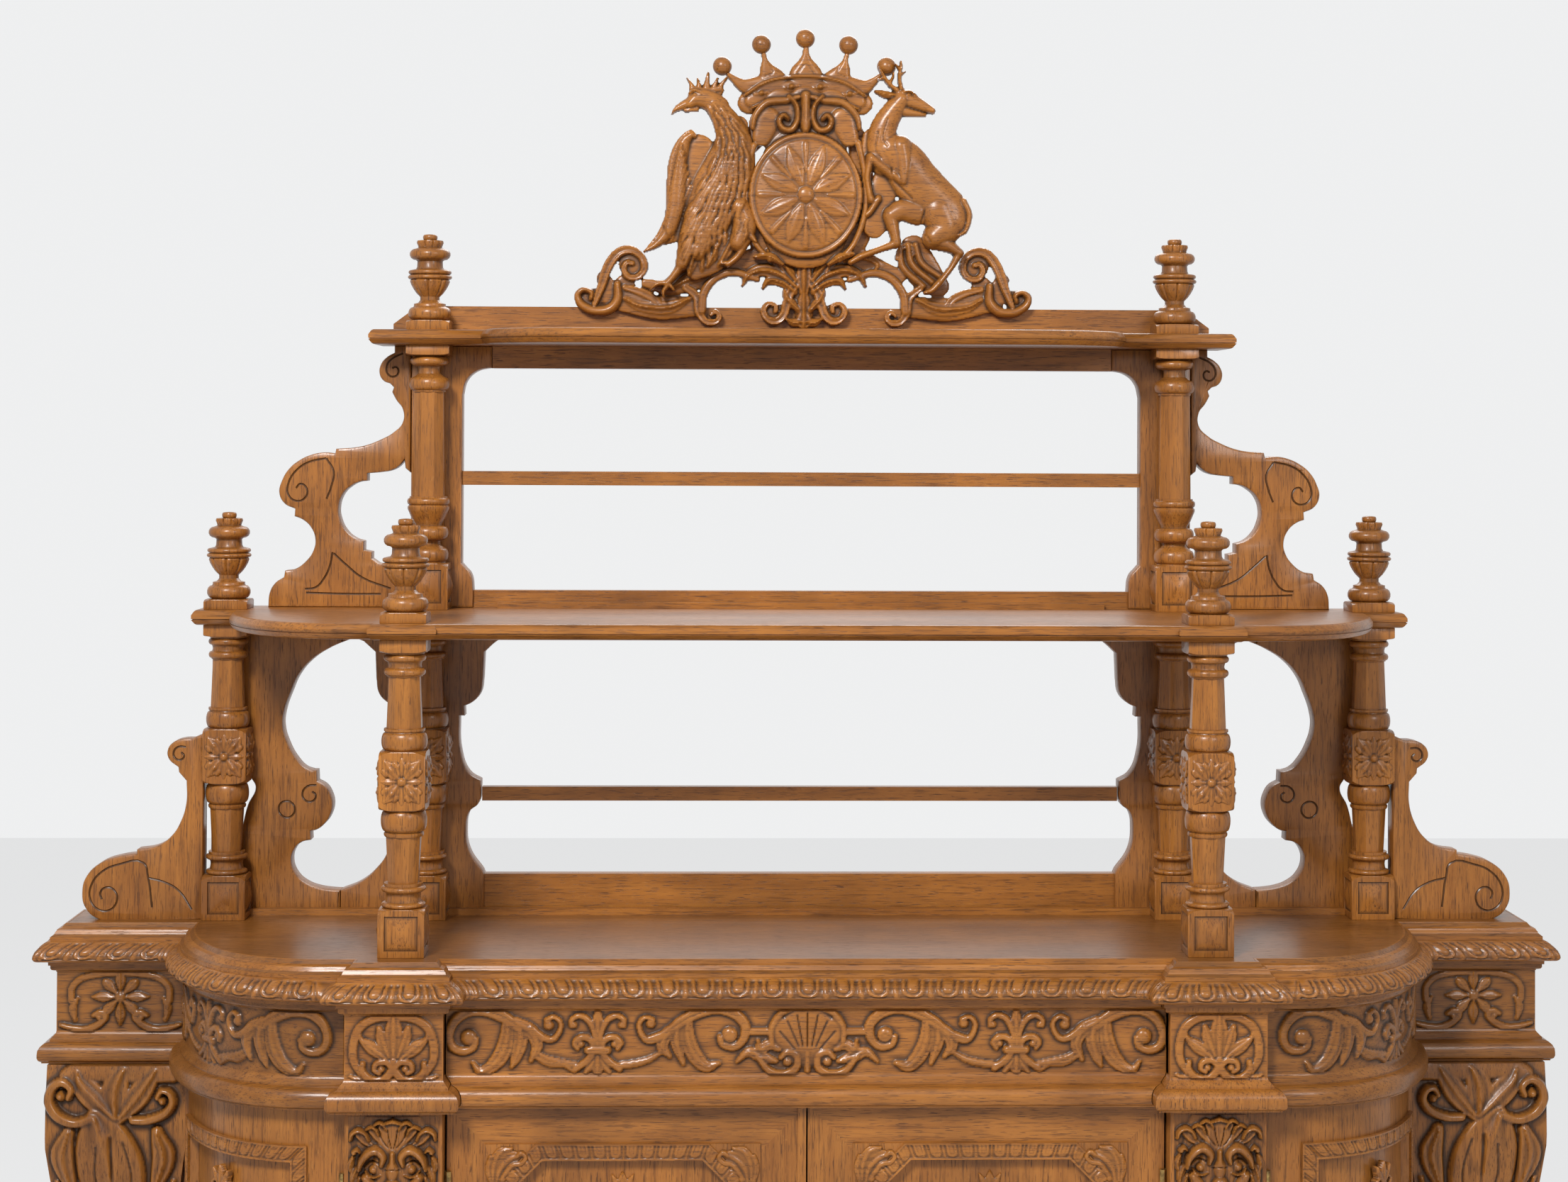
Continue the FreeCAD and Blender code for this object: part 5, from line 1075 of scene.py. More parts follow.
crownStrokes = [
    ("f", 9, [(590, 285, 40), (773, 238, 46), (958, 285, 40)]),
    ("f", 13, [(598, 280, 26), (680, 244, 27), (773, 232, 27), (866, 244, 27), (950, 280, 26)]),
    ("f", 13, [(520, 192, 9), (545, 212, 15), (580, 232, 26), (640, 235, 44)]),
    ("f", 13, [(1022, 190, 9), (998, 212, 15), (965, 232, 26), (905, 235, 44)]),
    ("f", 13, [(637, 124, 9), (642, 150, 13), (650, 180, 28), (670, 220, 52)]),
    ("f", 13, [(909, 124, 9), (903, 150, 13), (895, 180, 28), (875, 220, 52)]),
    ("f", 13, [(775, 100, 10), (775, 130, 15), (775, 160, 30), (775, 205, 62)]),
    ("r", 18, [(578, 262, 6), (640, 222, 7), (705, 205, 7), (773, 200, 7), (842, 205, 7), (905, 222, 7),
               (968, 262, 6)]),
    ("r", 18, [(600, 306, 6), (660, 280, 7), (716, 266, 7), (773, 262, 7), (830, 266, 7), (886, 280, 7),
               (946, 306, 6)]),
    ("v", 3, [(650, 150, 2.5), (668, 186, 2.5), (640, 200, 2.5)]),
    ("v", 3, [(896, 150, 2.5), (878, 186, 2.5), (906, 200, 2.5)]),
    ("v", 3, [(748, 190, 2.5), (775, 160, 2.5), (802, 190, 2.5)]),
]
for u, v in ((630, 256), (728, 234), (822, 234), (918, 256)):
    crownStrokes += [("r", 21, [(u, v, 10), (u + 1, v, 10)]), ("f", 15, [(u - 22, v + 3, 5), (u + 22, v - 3, 5)])]
crownBalls = ((503, 168, 32), (630, 96, 32), (773, 76, 32), (914, 96, 32), (1038, 165, 32))

eagle = [
    ("f", 8, [(430, 440, 50), (420, 560, 70), (415, 660, 60), (400, 730, 30)]),
    ("f", 6, [(560, 360, 30), (580, 470, 30)]), ("f", 7, [(380, 640, 50), (350, 715, 30), (300, 745, 14)]),
    ("f", 8, [(510, 700, 60), (480, 790, 50), (420, 840, 30)]),
    ("r", 21, [(398, 296, 18), (425, 276, 33), (458, 280, 38), (490, 305, 40)]),
    ("r", 23, [(480, 300, 36), (512, 345, 44), (534, 395, 56), (540, 450, 72), (520, 520, 90), (490, 590, 96),
               (460, 660, 82), (440, 720, 62), (425, 775, 36)]),
    ("r", 17, [(418, 284, 22), (388, 296, 19), (362, 308, 13), (346, 320, 7), (340, 330, 3)]),
    ("r", 13, [(420, 312, 12), (382, 318, 6)]), ("f", 15, [(404, 246, 11), (450, 254, 12), (496, 246, 11)]),
    ("f", 14, [(408, 242, 10), (390, 212, 4)]), ("f", 14, [(452, 242, 14), (457, 192, 4)]),
    ("f", 14, [(494, 242, 10), (518, 208, 5)]), ("f", 14, [(428, 240, 10), (424, 214, 5)]),
    ("f", 14, [(476, 240, 10), (488, 212, 5)]), ("f", 12, [(500, 250, 12), (470, 262, 30)]),
    dot("r", 24, 414, 268, 7, 0), ("r", 23, [(396, 262, 6), (415, 254, 7), (438, 262, 5)]),
    ("r", 17, [(406, 394, 11), (380, 420, 24), (362, 480, 34), (356, 560, 36), (350, 640, 32), (328, 710, 24),
               (292, 752, 15), (254, 775, 6)]),
    ("c", 22, [(414, 398, 8), (402, 388, 10), (372, 414, 12), (346, 480, 12), (338, 570, 11), (334, 640, 10),
               (304, 715, 9), (262, 768, 6)]),
    ("r", 22, [(430, 660, 54), (405, 750, 46), (375, 815, 24)]),
    ("r", 18, [(376, 815, 17), (345, 858, 14), (325, 880, 13)]),
    ("r", 17, [(325, 876, 12), (296, 880, 10), (274, 900, 5)]),
    ("r", 17, [(330, 884, 10), (316, 905, 8), (318, 925, 4)]), ("r", 16, [(330, 875, 10), (350, 900, 7)]),
    ("r", 25, [(560, 630, 38), (578, 690, 42), (556, 745, 32)]),
    ("r", 21, [(572, 690, 26), (592, 716, 17), (614, 742, 8)]),
    ("r", 18, [(586, 738, 15), (556, 788, 13), (524, 816, 12)]), ("r", 17, [(530, 812, 12), (505, 812, 7)]),
    ("l", 18, [(440, 730, 18), (412, 795, 22), (398, 850, 7)]),
    ("l", 17, [(470, 735, 18), (445, 795, 20), (440, 835, 7)]),
    ("l", 18, [(505, 725, 18), (480, 780, 20), (458, 822, 7)]),
    ("l", 17, [(540, 730, 16), (516, 780, 18), (494, 820, 6)]),
]
stag = [
    ("f", 7, [(1040, 540, 50), (1010, 620, 46), (1000, 690, 40)]), ("f", 7, [(990, 400, 34), (975, 480, 30)]),
    ("r", 19, [(1186, 312, 13), (1160, 300, 20), (1120, 282, 28), (1086, 268, 33)]),
    ("r", 15, [(1160, 326, 9), (1110, 318, 18), (1076, 305, 24)]),
    ("l", 20, [(1064, 264, 8), (1032, 260, 14), (998, 250, 5)]),
    ("r", 19, [(1070, 246, 10), (1045, 226, 9), (1022, 192, 7), (1012, 170, 4)]),
    ("r", 17, [(1045, 228, 7), (1056, 206, 6), (1060, 186, 4)]),
    ("r", 19, [(1084, 240, 9), (1078, 202, 8), (1084, 168, 6), (1082, 150, 4)]),
    ("r", 16, [(1080, 202, 6), (1098, 184, 4)]), ("r", 16, [(1030, 208, 6), (1006, 212, 4)]),
    ("r", 16, [(1080, 182, 6), (1066, 160, 4)]),
    ("r", 22, [(1086, 276, 30), (1055, 318, 38), (1028, 370, 46), (1022, 420, 52), (1040, 470, 62)]),
    ("r", 25, [(1050, 440, 58), (1092, 482, 76), (1134, 540, 80), (1184, 590, 78), (1230, 636, 76), (1242, 665, 70)]),
    ("r", 28, [(1084, 430, 40), (1094, 490, 38), (1092, 545, 18)]),
    ("r", 24, [(1090, 545, 21), (1044, 512, 20), (988, 470, 19)]),
    ("r", 22, [(986, 466, 18), (974, 530, 13), (982, 588, 13)]), ("r", 21, [(982, 588, 14), (988, 604, 15)]),
    ("r", 17, [(1010, 600, 14), (985, 640, 12), (972, 652, 12)]),
    ("r", 28, [(1208, 636, 66), (1230, 690, 58), (1196, 722, 44)]),
    ("r", 22, [(1190, 726, 40), (1242, 752, 24), (1276, 774, 17)]),
    ("r", 19, [(1275, 774, 16), (1250, 820, 12), (1214, 868, 13)]),
    ("r", 18, [(1214, 868, 14), (1186, 896, 12), (1164, 904, 8)]),
    ("r", 21, [(1140, 640, 48), (1090, 636, 38), (1056, 652, 32)]),
    ("r", 20, [(1050, 655, 27), (1064, 708, 21), (1070, 744, 18)]),
    ("r", 18, [(1070, 744, 17), (1010, 766, 13), (952, 788, 13)]), ("r", 17, [(952, 788, 14), (922, 806, 11)]),
    ("r", 21, [(1288, 606, 14), (1306, 650, 13), (1296, 700, 10), (1274, 718, 6)]), dot("r", 25, 1108, 262, 6, 0),
    ("r", 23, [(1092, 252, 5), (1112, 250, 6), (1132, 262, 4)]), ("v", 4, [(1150, 318, 2.5), (1182, 322, 2.5)]),
    ("v", 4, [(1052, 500, 4), (1062, 540, 4), (1120, 600, 4)]),
    ("v", 4, [(1160, 640, 4), (1150, 690, 4), (1180, 740, 4)]),
    ("v", 3, [(1010, 380, 3), (1000, 440, 3), (1020, 470, 3)]),
    ("v", 3, [(1040, 340, 3), (1024, 400, 3), (1040, 430, 3)]),
]


def feathers():  # short overlapping leaves down the neck, breast and thighs, and long ones on the wing
    chance = np.random.default_rng(7)
    rows = []
    spine = [(478, 300), (508, 345), (530, 400), (536, 460), (520, 530), (492, 600), (462, 665), (442, 720)]
    widths = [34, 42, 52, 66, 84, 90, 76, 56]
    for (u, v), wide, (nextU, nextV) in zip(spine, widths, spine[1:] + [(425, 775)]):
        for part in range(2):
            su, sv = u + (nextU - u) * part / 2, v + (nextV - v) * part / 2
            count = max(3, int(wide / 9))
            for k in range(count):
                off = (k + 0.5 + 0.5 * (part % 2)) / count * 2 - 1
                du, dv = (nextU - u) / 60, (nextV - v) / 60
                x = su + off * wide * 0.9 + chance.normal(0, 2)
                y = sv + 8 * abs(off) + chance.normal(0, 3)
                long = 34 + 10 * chance.random() + (12 if v > 400 else 0)
                turn = off * 0.25
                rows.append(("l", 5, [(x, y, 3), (x + (du + turn) * long * 0.5, y + dv * long * 0.5,
                                                  6.5 + 2.5 * (v > 400)),
                                      (x + (du + turn) * long, y + dv * long, 2)]))
    for k in range(7):
        s = k / 6
        rows.append(("l", 5, [(372 + 30 * s, 430 + 22 * k, 5), (352 + 20 * s, 540 + 16 * k, 9),
                              (320 + 22 * s, 690 + 8 * k, 4)]))
    for k in range(16):
        u, v = 395 + 75 * chance.random(), 660 + 120 * chance.random()
        rows.append(("l", 5, [(u, v, 3), (u - 7, v + 20, 7), (u - 12, v + 42, 2)]))
    for k in range(9):
        u, v = 545 + 45 * chance.random(), 640 + 70 * chance.random()
        rows.append(("l", 5, [(u, v, 3), (u - 2, v + 18, 6), (u - 8, v + 36, 2)]))
    return rows


# the shield's field is a flower with radiating leaves on a stippled ground
shield = {"middle": (775, 590), "halfWide": 107, "halfTall": 118, "ground": 14, "dome": 11, "petals": 8,
          "leafEdge": 0.9, "stipple": 0.7, "stippleEdge": 0.88, "pitch": 1.1, "bare": 0.1}


def shieldField(x, y, height):
    u, v = shield["middle"]
    cx, cz = (u - crest["middle"]) * crest["unit"], crest["level"] - v * crest["unit"]
    span = np.hypot((x - cx) / shield["halfWide"], (y - cz) / shield["halfTall"])
    dome = shield["ground"] + shield["dome"] * np.sqrt(np.clip(1 - span ** 2, 0, 1))
    petals = []
    for k in range(shield["petals"]):
        angle = math.tau * (k + 0.5) / shield["petals"]
        c, s = math.cos(angle), math.sin(angle)
        petals.append(("l", [(cx + 22 * c, cz + 24 * s, 5, 3.6), (cx + 52 * c, cz + 58 * s, 15, 4.2),
                             (cx + 86 * c, cz + 95 * s, 3, 3)]))
        angle = math.tau * k / shield["petals"]
        c, s = math.cos(angle), math.sin(angle)
        petals.append(("r", [(cx + 40 * c, cz + 44 * s, 2, 2.4), (cx + 80 * c, cz + 88 * s, 5, 2.8),
                             (cx + 88 * c, cz + 97 * s, 5, 2.8)]))
    petals += [("r", [(cx, cz, 15, 6), (cx + 0.2, cz, 15, 6)])]
    carving = relief(x, y, petals)
    stipple = shield["stipple"] * np.sin(x * shield["pitch"]) * np.sin(y * shield["pitch"]) * (carving < shield["bare"])
    rim, groove = (tall * np.exp(-((span - place) / wide) ** 2) for tall, place, wide in (
        (2.6, 0.965, 0.028), (-2.2, 0.90, 0.02)))
    field = dome + carving * (span < shield["leafEdge"]) + stipple * (span < shield["stippleEdge"]) + rim + groove
    return np.where(span < 1, np.maximum(field, 0), height)


def crestPiece(name, strokes, plane, depth, detail=(), shape=None):  # plane is the y of the carving's ground
    drawn = fromDrawing(crest, strokes)
    spots = np.array([point for kind, points in drawn for point in points])
    margin = spots[:, 2].max() + 2
    low, high = spots[:, :2].min(0) - margin, spots[:, :2].max(0) + margin
    return carved(name, (low[0], high[0], low[1], high[1]), crest["step"], drawn, lambda x, y, h: (x, plane - h, y),
                  cut=crest["cut"], depth=depth, detail=fromDrawing(crest, detail), shape=shape)


field = ("f", 12, [(775, 500, 150), (775, 680, 150)])  # the ground under the shield's flower
shieldCarving = shieldStrokes + [field]
for piece, node in ((crestPiece("crestScrollwork", scrollwork, crest["rear"], 8), "crest_scrollwork"),
                    (crestPiece("crestShield", shieldCarving, crest["front"], 5, shape=shieldField), "crest_shield"),
                    (crestPiece("crestEagle", eagle, crest["front"], 6, detail=feathers()), "crest_eagle"),
                    (crestPiece("crestStag", stag, crest["front"], 6), "crest_stag")):
    dress(piece, oakCarved, replaced=[node], smooth=50)
crownPieces = [crestPiece("crestCrownBand", crownStrokes, crest["rear"], 8)]
for k, (u, v, w) in enumerate(crownBalls):
    bm = turning(bead(-w, w, 0.01, w, 14), 32)
    bmesh.ops.scale(bm, vec=(crest["unit"] * crest["ballShare"],) * 3, verts=bm.verts)
    place = Matrix.Translation(((u - crest["middle"]) * crest["unit"], crest["balls"],
                                crest["level"] - v * crest["unit"]))
    crownPieces.append(pieceFrom(f"crownBall{k}", bm, place))
dress(joinedPiece("crestCrown", crownPieces), oakCarved, replaced=["crest_crown"], smooth=50)
print("cresting carved")


# the sawn boards: outlines in mm for the right side, with heights over the counter; a third number marks a
# sharp corner
boards = {
    "lower_fret": {"back": 297, "outline": [
        (862.5, 0, 1), (1104, 0, 1), (1104, 158, 1), (1046, 163, 1), (1036, 203), (1022, 236), (1030, 252, 1),
        (1104, 256, 1), (1104, 545, 1), (862.5, 545, 1), (862.5, 507, 1), (884, 497), (918, 475), (943, 446),
        (957, 415), (970, 376), (972, 350), (963, 318), (946, 288), (930, 272), (916, 267, 1), (908, 267, 1),
        (907, 247, 1), (892, 238), (882, 222), (878, 204), (882, 184), (892, 168), (908, 156), (919, 154, 1),
        (918, 137, 1), (935, 133), (949, 119), (954, 96), (944, 71), (926, 56), (905, 48), (880, 44),
        (862.5, 43, 1)], "lines": [
        [(908, 240), (924, 238), (934, 225), (928, 211), (915, 210), (909, 221), (916, 228)],
        [(978, 194), (975, 205), (965, 210), (953, 206), (948, 195), (952, 184), (962, 179), (973, 184),
         (978, 194)]]},
    "lower_stile": {"back": 297, "outline": [
        (594, 0, 1), (862, 0, 1), (862, 43, 1), (826, 58), (799, 80), (774, 117), (768, 157), (774, 190),
        (791, 206), (795, 239, 1), (795, 249, 1), (773, 263), (757, 303), (754, 370, 1), (764, 370, 1),
        (763, 388, 1), (779, 396), (793, 412), (798, 440, 1), (800, 489, 1), (822, 509, 1), (838, 514),
        (862, 507, 1), (862, 545, 1), (560, 545, 1), (560, 517, 1), (574, 509), (596, 489, 1), (598, 440, 1),
        (603, 412), (617, 396), (633, 388, 1), (632, 370, 1), (642, 370, 1), (639, 303), (623, 263),
        (601, 249, 1), (601, 239, 1), (605, 206), (622, 190), (628, 157), (622, 117), (597, 80, 1), (594, 73, 1)],
        "lines": []},
    "lower_bracket": {"back": 234, "outline": [
        (1107.5, 0, 1), (1298, 0), (1323, 21), (1329, 51), (1322, 77.5), (1296, 103.5), (1264, 115),
        (1229, 120.5, 1), (1229, 128, 1), (1192, 135), (1166, 153), (1149, 180), (1139, 215), (1139, 255, 1),
        (1153, 271, 1), (1154, 280, 1), (1172, 296), (1174, 312), (1164, 326), (1148, 332), (1129, 333, 1),
        (1111, 341, 1), (1107.5, 345, 1)], "lines": [
        [(1140, 318), (1154, 318), (1162, 309), (1160, 298), (1150, 294), (1143, 301), (1148, 308)],
        [(1200, 22), (1208, 80), (1216, 104), (1262, 101), (1292, 88), (1312, 62), (1313, 36), (1298, 18),
         (1278, 17), (1265, 32), (1268, 52), (1284, 59), (1295, 49), (1292, 37)],
        [(1127, 18), (1150, 52), (1176, 68), (1206, 76)]]},
    "upper_stile": {"back": 297, "outline": [
        (618, 573, 1), (735.5, 573, 1), (735.5, 1064, 1), (584.5, 1064, 1), (584.5, 1023, 1), (592, 1023),
        (616, 1016), (633, 999), (640, 973, 1), (640, 656, 1), (633, 648), (623, 636), (618, 607)], "lines": []},
    "upper_bracket": {"back": 297, "outline": [
        (736.5, 1064, 1), (768, 1064, 1), (768, 1051, 1), (782, 1043), (793, 1030), (796, 1012), (788, 998),
        (776, 993, 1), (769, 986, 1), (772, 977, 1), (764, 962), (752, 945), (752, 920), (768, 902), (790, 889),
        (828, 875), (876, 870, 1), (878, 861, 1), (898, 863), (921, 859), (945, 848), (964, 832), (977, 810),
        (982, 787), (972, 767), (952, 757, 1), (953, 743, 1), (938, 737), (922, 722), (914, 700), (917, 680),
        (930, 660), (952, 644), (970, 641, 1), (972, 629, 1), (988, 618), (998, 601), (1001, 573, 1),
        (736.5, 573, 1), (736.5, 650, 1), (795, 655, 1), (808, 664, 1), (808, 677, 1), (823, 680, 1),
        (823, 697, 1), (841, 703), (858, 718), (868, 738), (871, 758), (863, 785), (848, 800), (832, 808),
        (817, 810, 1), (817, 824, 1), (794, 826, 1), (772, 830), (758, 838), (748, 850, 1), (746, 834, 1),
        (736.5, 826, 1)], "lines": [
        [(752, 1050), (772, 1040), (782, 1026), (780, 1011), (768, 1006), (760, 1014), (764, 1024), (772, 1022)],
        [(894, 852), (880, 828), (884, 800), (893, 776)],
        [(894, 852), (926, 845), (950, 829), (964, 806), (965, 785), (950, 772), (933, 778), (930, 795),
         (942, 804), (950, 796)],
        [(932, 607), (912, 610), (896, 628), (886, 650), (881, 676)],
        [(879, 674), (856, 653), (826, 629), (772, 608)],
        [(930, 600), (860, 598), (790, 598)]]},
}


def flatCurve(name, thick, edge):
    curve = bpy.data.curves.new(name, "CURVE")
    curve.dimensions = "2D"
    curve.fill_mode = "BOTH"
    curve.resolution_u = 7
    curve.extrude = (thick / 2 - edge) * mm
    curve.bevel_depth = edge * mm
    curve.bevel_resolution = 1
    curve.offset = -edge * mm
    return curve


def sawnSpline(curve, outline, side, low):
    spline = curve.splines.new("BEZIER")
    spline.bezier_points.add(len(outline) - 1)
    spline.use_cyclic_u = True
    for spot, point in zip(spline.bezier_points, outline):
        spot.co = (side * point[0] * mm, (point[1] + low) * mm, 0)
        spot.handle_left_type = spot.handle_right_type = "VECTOR" if len(point) == 3 else "AUTO"


def stoodUp(name, curve, front, thick):  # makes the curve a mesh, stood up with its front at y = front
    mesh = solidFrom(name, curve)
    mesh.name = name
    mesh.transform(Matrix.Translation((0, (front + thick / 2) * mm, 0)) @ Matrix.Rotation(math.pi / 2, 4, "X"))
    turnedOut(mesh, merge=0.00002)
    return linked(name, mesh)


def incisedLines(name, lines, side, low, front):  # round rods along the drawn lines, sunk half into the face
    curve = bpy.data.curves.new(name, "CURVE")
    curve.dimensions = "3D"
    curve.bevel_depth = lineHalf * mm
    curve.bevel_resolution = 1
    curve.use_fill_caps = True
    curve.resolution_u = 4
    for line in lines:
        spline = curve.splines.new("BEZIER")
        if line[0] == line[-1]:
            line = line[:-1]
            spline.use_cyclic_u = True
        spline.bezier_points.add(len(line) - 1)
        for spot, (x, z) in zip(spline.bezier_points, line):
            spot.co = (side * x * mm, (front - 0.3) * mm, (z + low) * mm)
            spot.handle_left_type = spot.handle_right_type = "AUTO"
    mesh = solidFrom(name, curve)
    # the groove's faces carry painted shade
    mesh.materials.append(oakGroovePaintedShade)
    return linked(name, mesh)


boardThick, boardEdge, lineHalf = 45, 4, 2.3
for node, board in boards.items():
    for word, side in (("left", -1), ("right", 1)):
        name = "".join(part.capitalize() for part in (node + "_board_" + word).split("_"))
        curve = flatCurve(name, boardThick, boardEdge)
        sawnSpline(curve, board["outline"], side, columnPlaces["counter"])
        front = board["back"] - boardThick
        piece = stoodUp(name, curve, front, boardThick)
        piece.data.materials.append(oakUpright)
        for k, line in enumerate(board["lines"]):
            cutWith(piece, incisedLines(f"{name}Line{k}", [line], side, columnPlaces["counter"], front), "DIFFERENCE")
        dress(piece, None, replaced=[f"{node}_{word}"], smooth=35)
print("boards sawn")


shelf = {"edge": 4, "lip": 9, "groove": 2.6, "depth": 2.2}


def mouldedShelf(name, node):  # the node's own outline with softened edges and a groove round it
    bm = bmesh.new()
    bm.from_mesh(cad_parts[node].data)
    bmesh.ops.remove_doubles(bm, verts=bm.verts, dist=0.00002)
    bmesh.ops.dissolve_limit(bm, angle_limit=math.radians(1), verts=bm.verts, edges=bm.edges)
    rims = [edge for edge in bm.edges if len(edge.link_faces) == 2
            and {abs(face.normal.z) > 0.7 for face in edge.link_faces} == {True, False}]
    softened(bm, rims, shelf["edge"] * mm, 3)
    low = min(vert.co.z for vert in bm.verts)
    lip = shelf["lip"]
    for level in (low + lip * mm, low + (lip + shelf["groove"]) * mm):
        bmesh.ops.bisect_plane(bm, geom=bm.verts[:] + bm.edges[:] + bm.faces[:], plane_co=(0, 0, level),
                               plane_no=(0, 0, 1))
    groove = [face for face in bm.faces
              if abs(face.calc_center_median().z - low - (lip + shelf["groove"] / 2) * mm) < 0.0008]
    bmesh.ops.inset_region(bm, faces=groove, thickness=0.0002, depth=-shelf["depth"] * mm, use_even_offset=True)
    return linked(name, meshFrom(name, bm))


for name, node in (("middleShelf", "mid_shelf"), ("topShelf", "top_shelf")):
    dress(mouldedShelf(name, node), oakAcross, replaced=[node], smooth=30)
print("shelves moulded")


# a carved band of tongues round each door's panel, mitred at the corners of its path
band = {"half": 14, "pitch": 27.5, "step": 1.9, "rise": 7.5, "sunk": 0.4}
spray = {"area": (-4, 82, -104, 4), "step": 1.7, "out": 12, "sunk": 0.2, "share": 0.95, "cut": 0.4, "depth": 2}
tuft = {"area": (-26, 26, -28, 22), "step": 1.6, "cut": 0.4, "depth": 8}
bowTuft = {"area": (-30, 30, -32, 26), "step": 1.7, "size": 1.15}


def tongues(s, v, height):
    outward = v / band["half"]
    ovolo = band["rise"] * np.sqrt(np.clip(1 - ((outward + 0.15) / 1.15) ** 2, 0, 1)) * 0.75 + 1.2
    ovolo = np.maximum(ovolo, 5.0 * (outward > 0.78))
    u = s % band["pitch"] - band["pitch"] / 2
    down = np.maximum(-v - 1, 0)
    d = np.where(down > 0, np.hypot(u, down), np.abs(u)) - 6.6
    rim = 3.2 * np.sqrt(np.clip(1 - (d / 2.6) ** 2, 0, 1))
    ball = 2.6 * np.sqrt(np.clip(1 - ((d + 6.6) / 4.4) ** 2, 0, 1))
    dart = 2.8 * np.clip(1 - (band["pitch"] / 2 - np.abs(u)) / 1.9, 0, 1)
    carve = np.where(np.abs(outward) < 0.74, np.maximum(np.maximum(rim, ball), dart) - 3.0, 0)
    return np.clip(ovolo + carve, 0.3, 12)


def bandRound(name, corners, lay):  # corners run anticlockwise, in mm on the door's own face
    spots = np.array(corners, float)
    runs = np.roll(spots, -1, axis=0) - spots
    lengths = np.hypot(*runs.T)
    out = np.stack([runs[:, 1], -runs[:, 0]], -1) / lengths[:, None]
    before = np.roll(out, 1, axis=0)
    mitres = (out + before) / (1 + (out * before).sum(1))[:, None]
    starts = np.r_[0, np.cumsum(lengths)]
    after = np.roll(np.arange(len(spots)), -1)

    def place(s, v, h):
        k = np.clip(np.searchsorted(starts, s, side="right") - 1, 0, len(spots) - 1)
        t = ((s - starts[k]) / lengths[k])[:, None]
        spot = (1 - t) * (spots[k] + v[:, None] * mitres[k]) + t * (spots[after[k]] + v[:, None] * mitres[after[k]])
        return lay(spot[:, 0], spot[:, 1], h)

    return carved(name, (0, starts[-1], -band["half"], band["half"]), band["step"], [], place, shape=tongues)


# an acanthus spray in a corner of the door, from its middle out to both sides
corner = [
    ("l", 8, [(20, 64, 6), (26, 40, 12), (44, 22, 12), (66, 15, 4)]),
    ("l", 8, [(14, 60, 5), (15, 34, 9), (26, 12, 9), (46, 5, 3)]), ("l", 7, [(24, 62, 5), (38, 48, 8), (52, 44, 3)]),
    ("l", 7, [(10, 62, 5), (6, 40, 7), (8, 18, 3)]),
    ("f", 9, [(30, 54, 4), (46, 34, 5), (62, 30, 5), (70, 20, 4.5), (62, 12, 4), (55, 18, 3.5)]),
    ("f", 9, [(20, 74, 4), (10, 84, 5), (12, 92, 5), (22, 92, 4), (22, 84, 3)]),
    ("l", 7, [(28, 66, 5), (22, 82, 8), (32, 94, 3)]), ("r", 10, [(30, 58, 7), (30.3, 58, 7)]),
]
finial = [("l", 6, [(0, -16, 4), (0, 0, 8), (0, 16, 2)]), ("r", 7, [(0, -20, 5), (0.3, -20, 5)])]
for way in (-1, 1):
    finial += [("l", 6, [(way * 3, -14, 3), (way * 12, -2, 6), (way * 18, 10, 2)]),
               ("f", 6, [(way * 2, -18, 3), (way * 14, -20, 4), (way * 20, -12, 3), (way * 14, -8, 2.5)])]


def sized(strokes, size=1.0, up=1):  # a drawn ornament as strokes, larger or turned over
    return [(kind, [(x * size, y * size * up, w * size, height) for x, y, w in points])
            for kind, height, points in strokes]


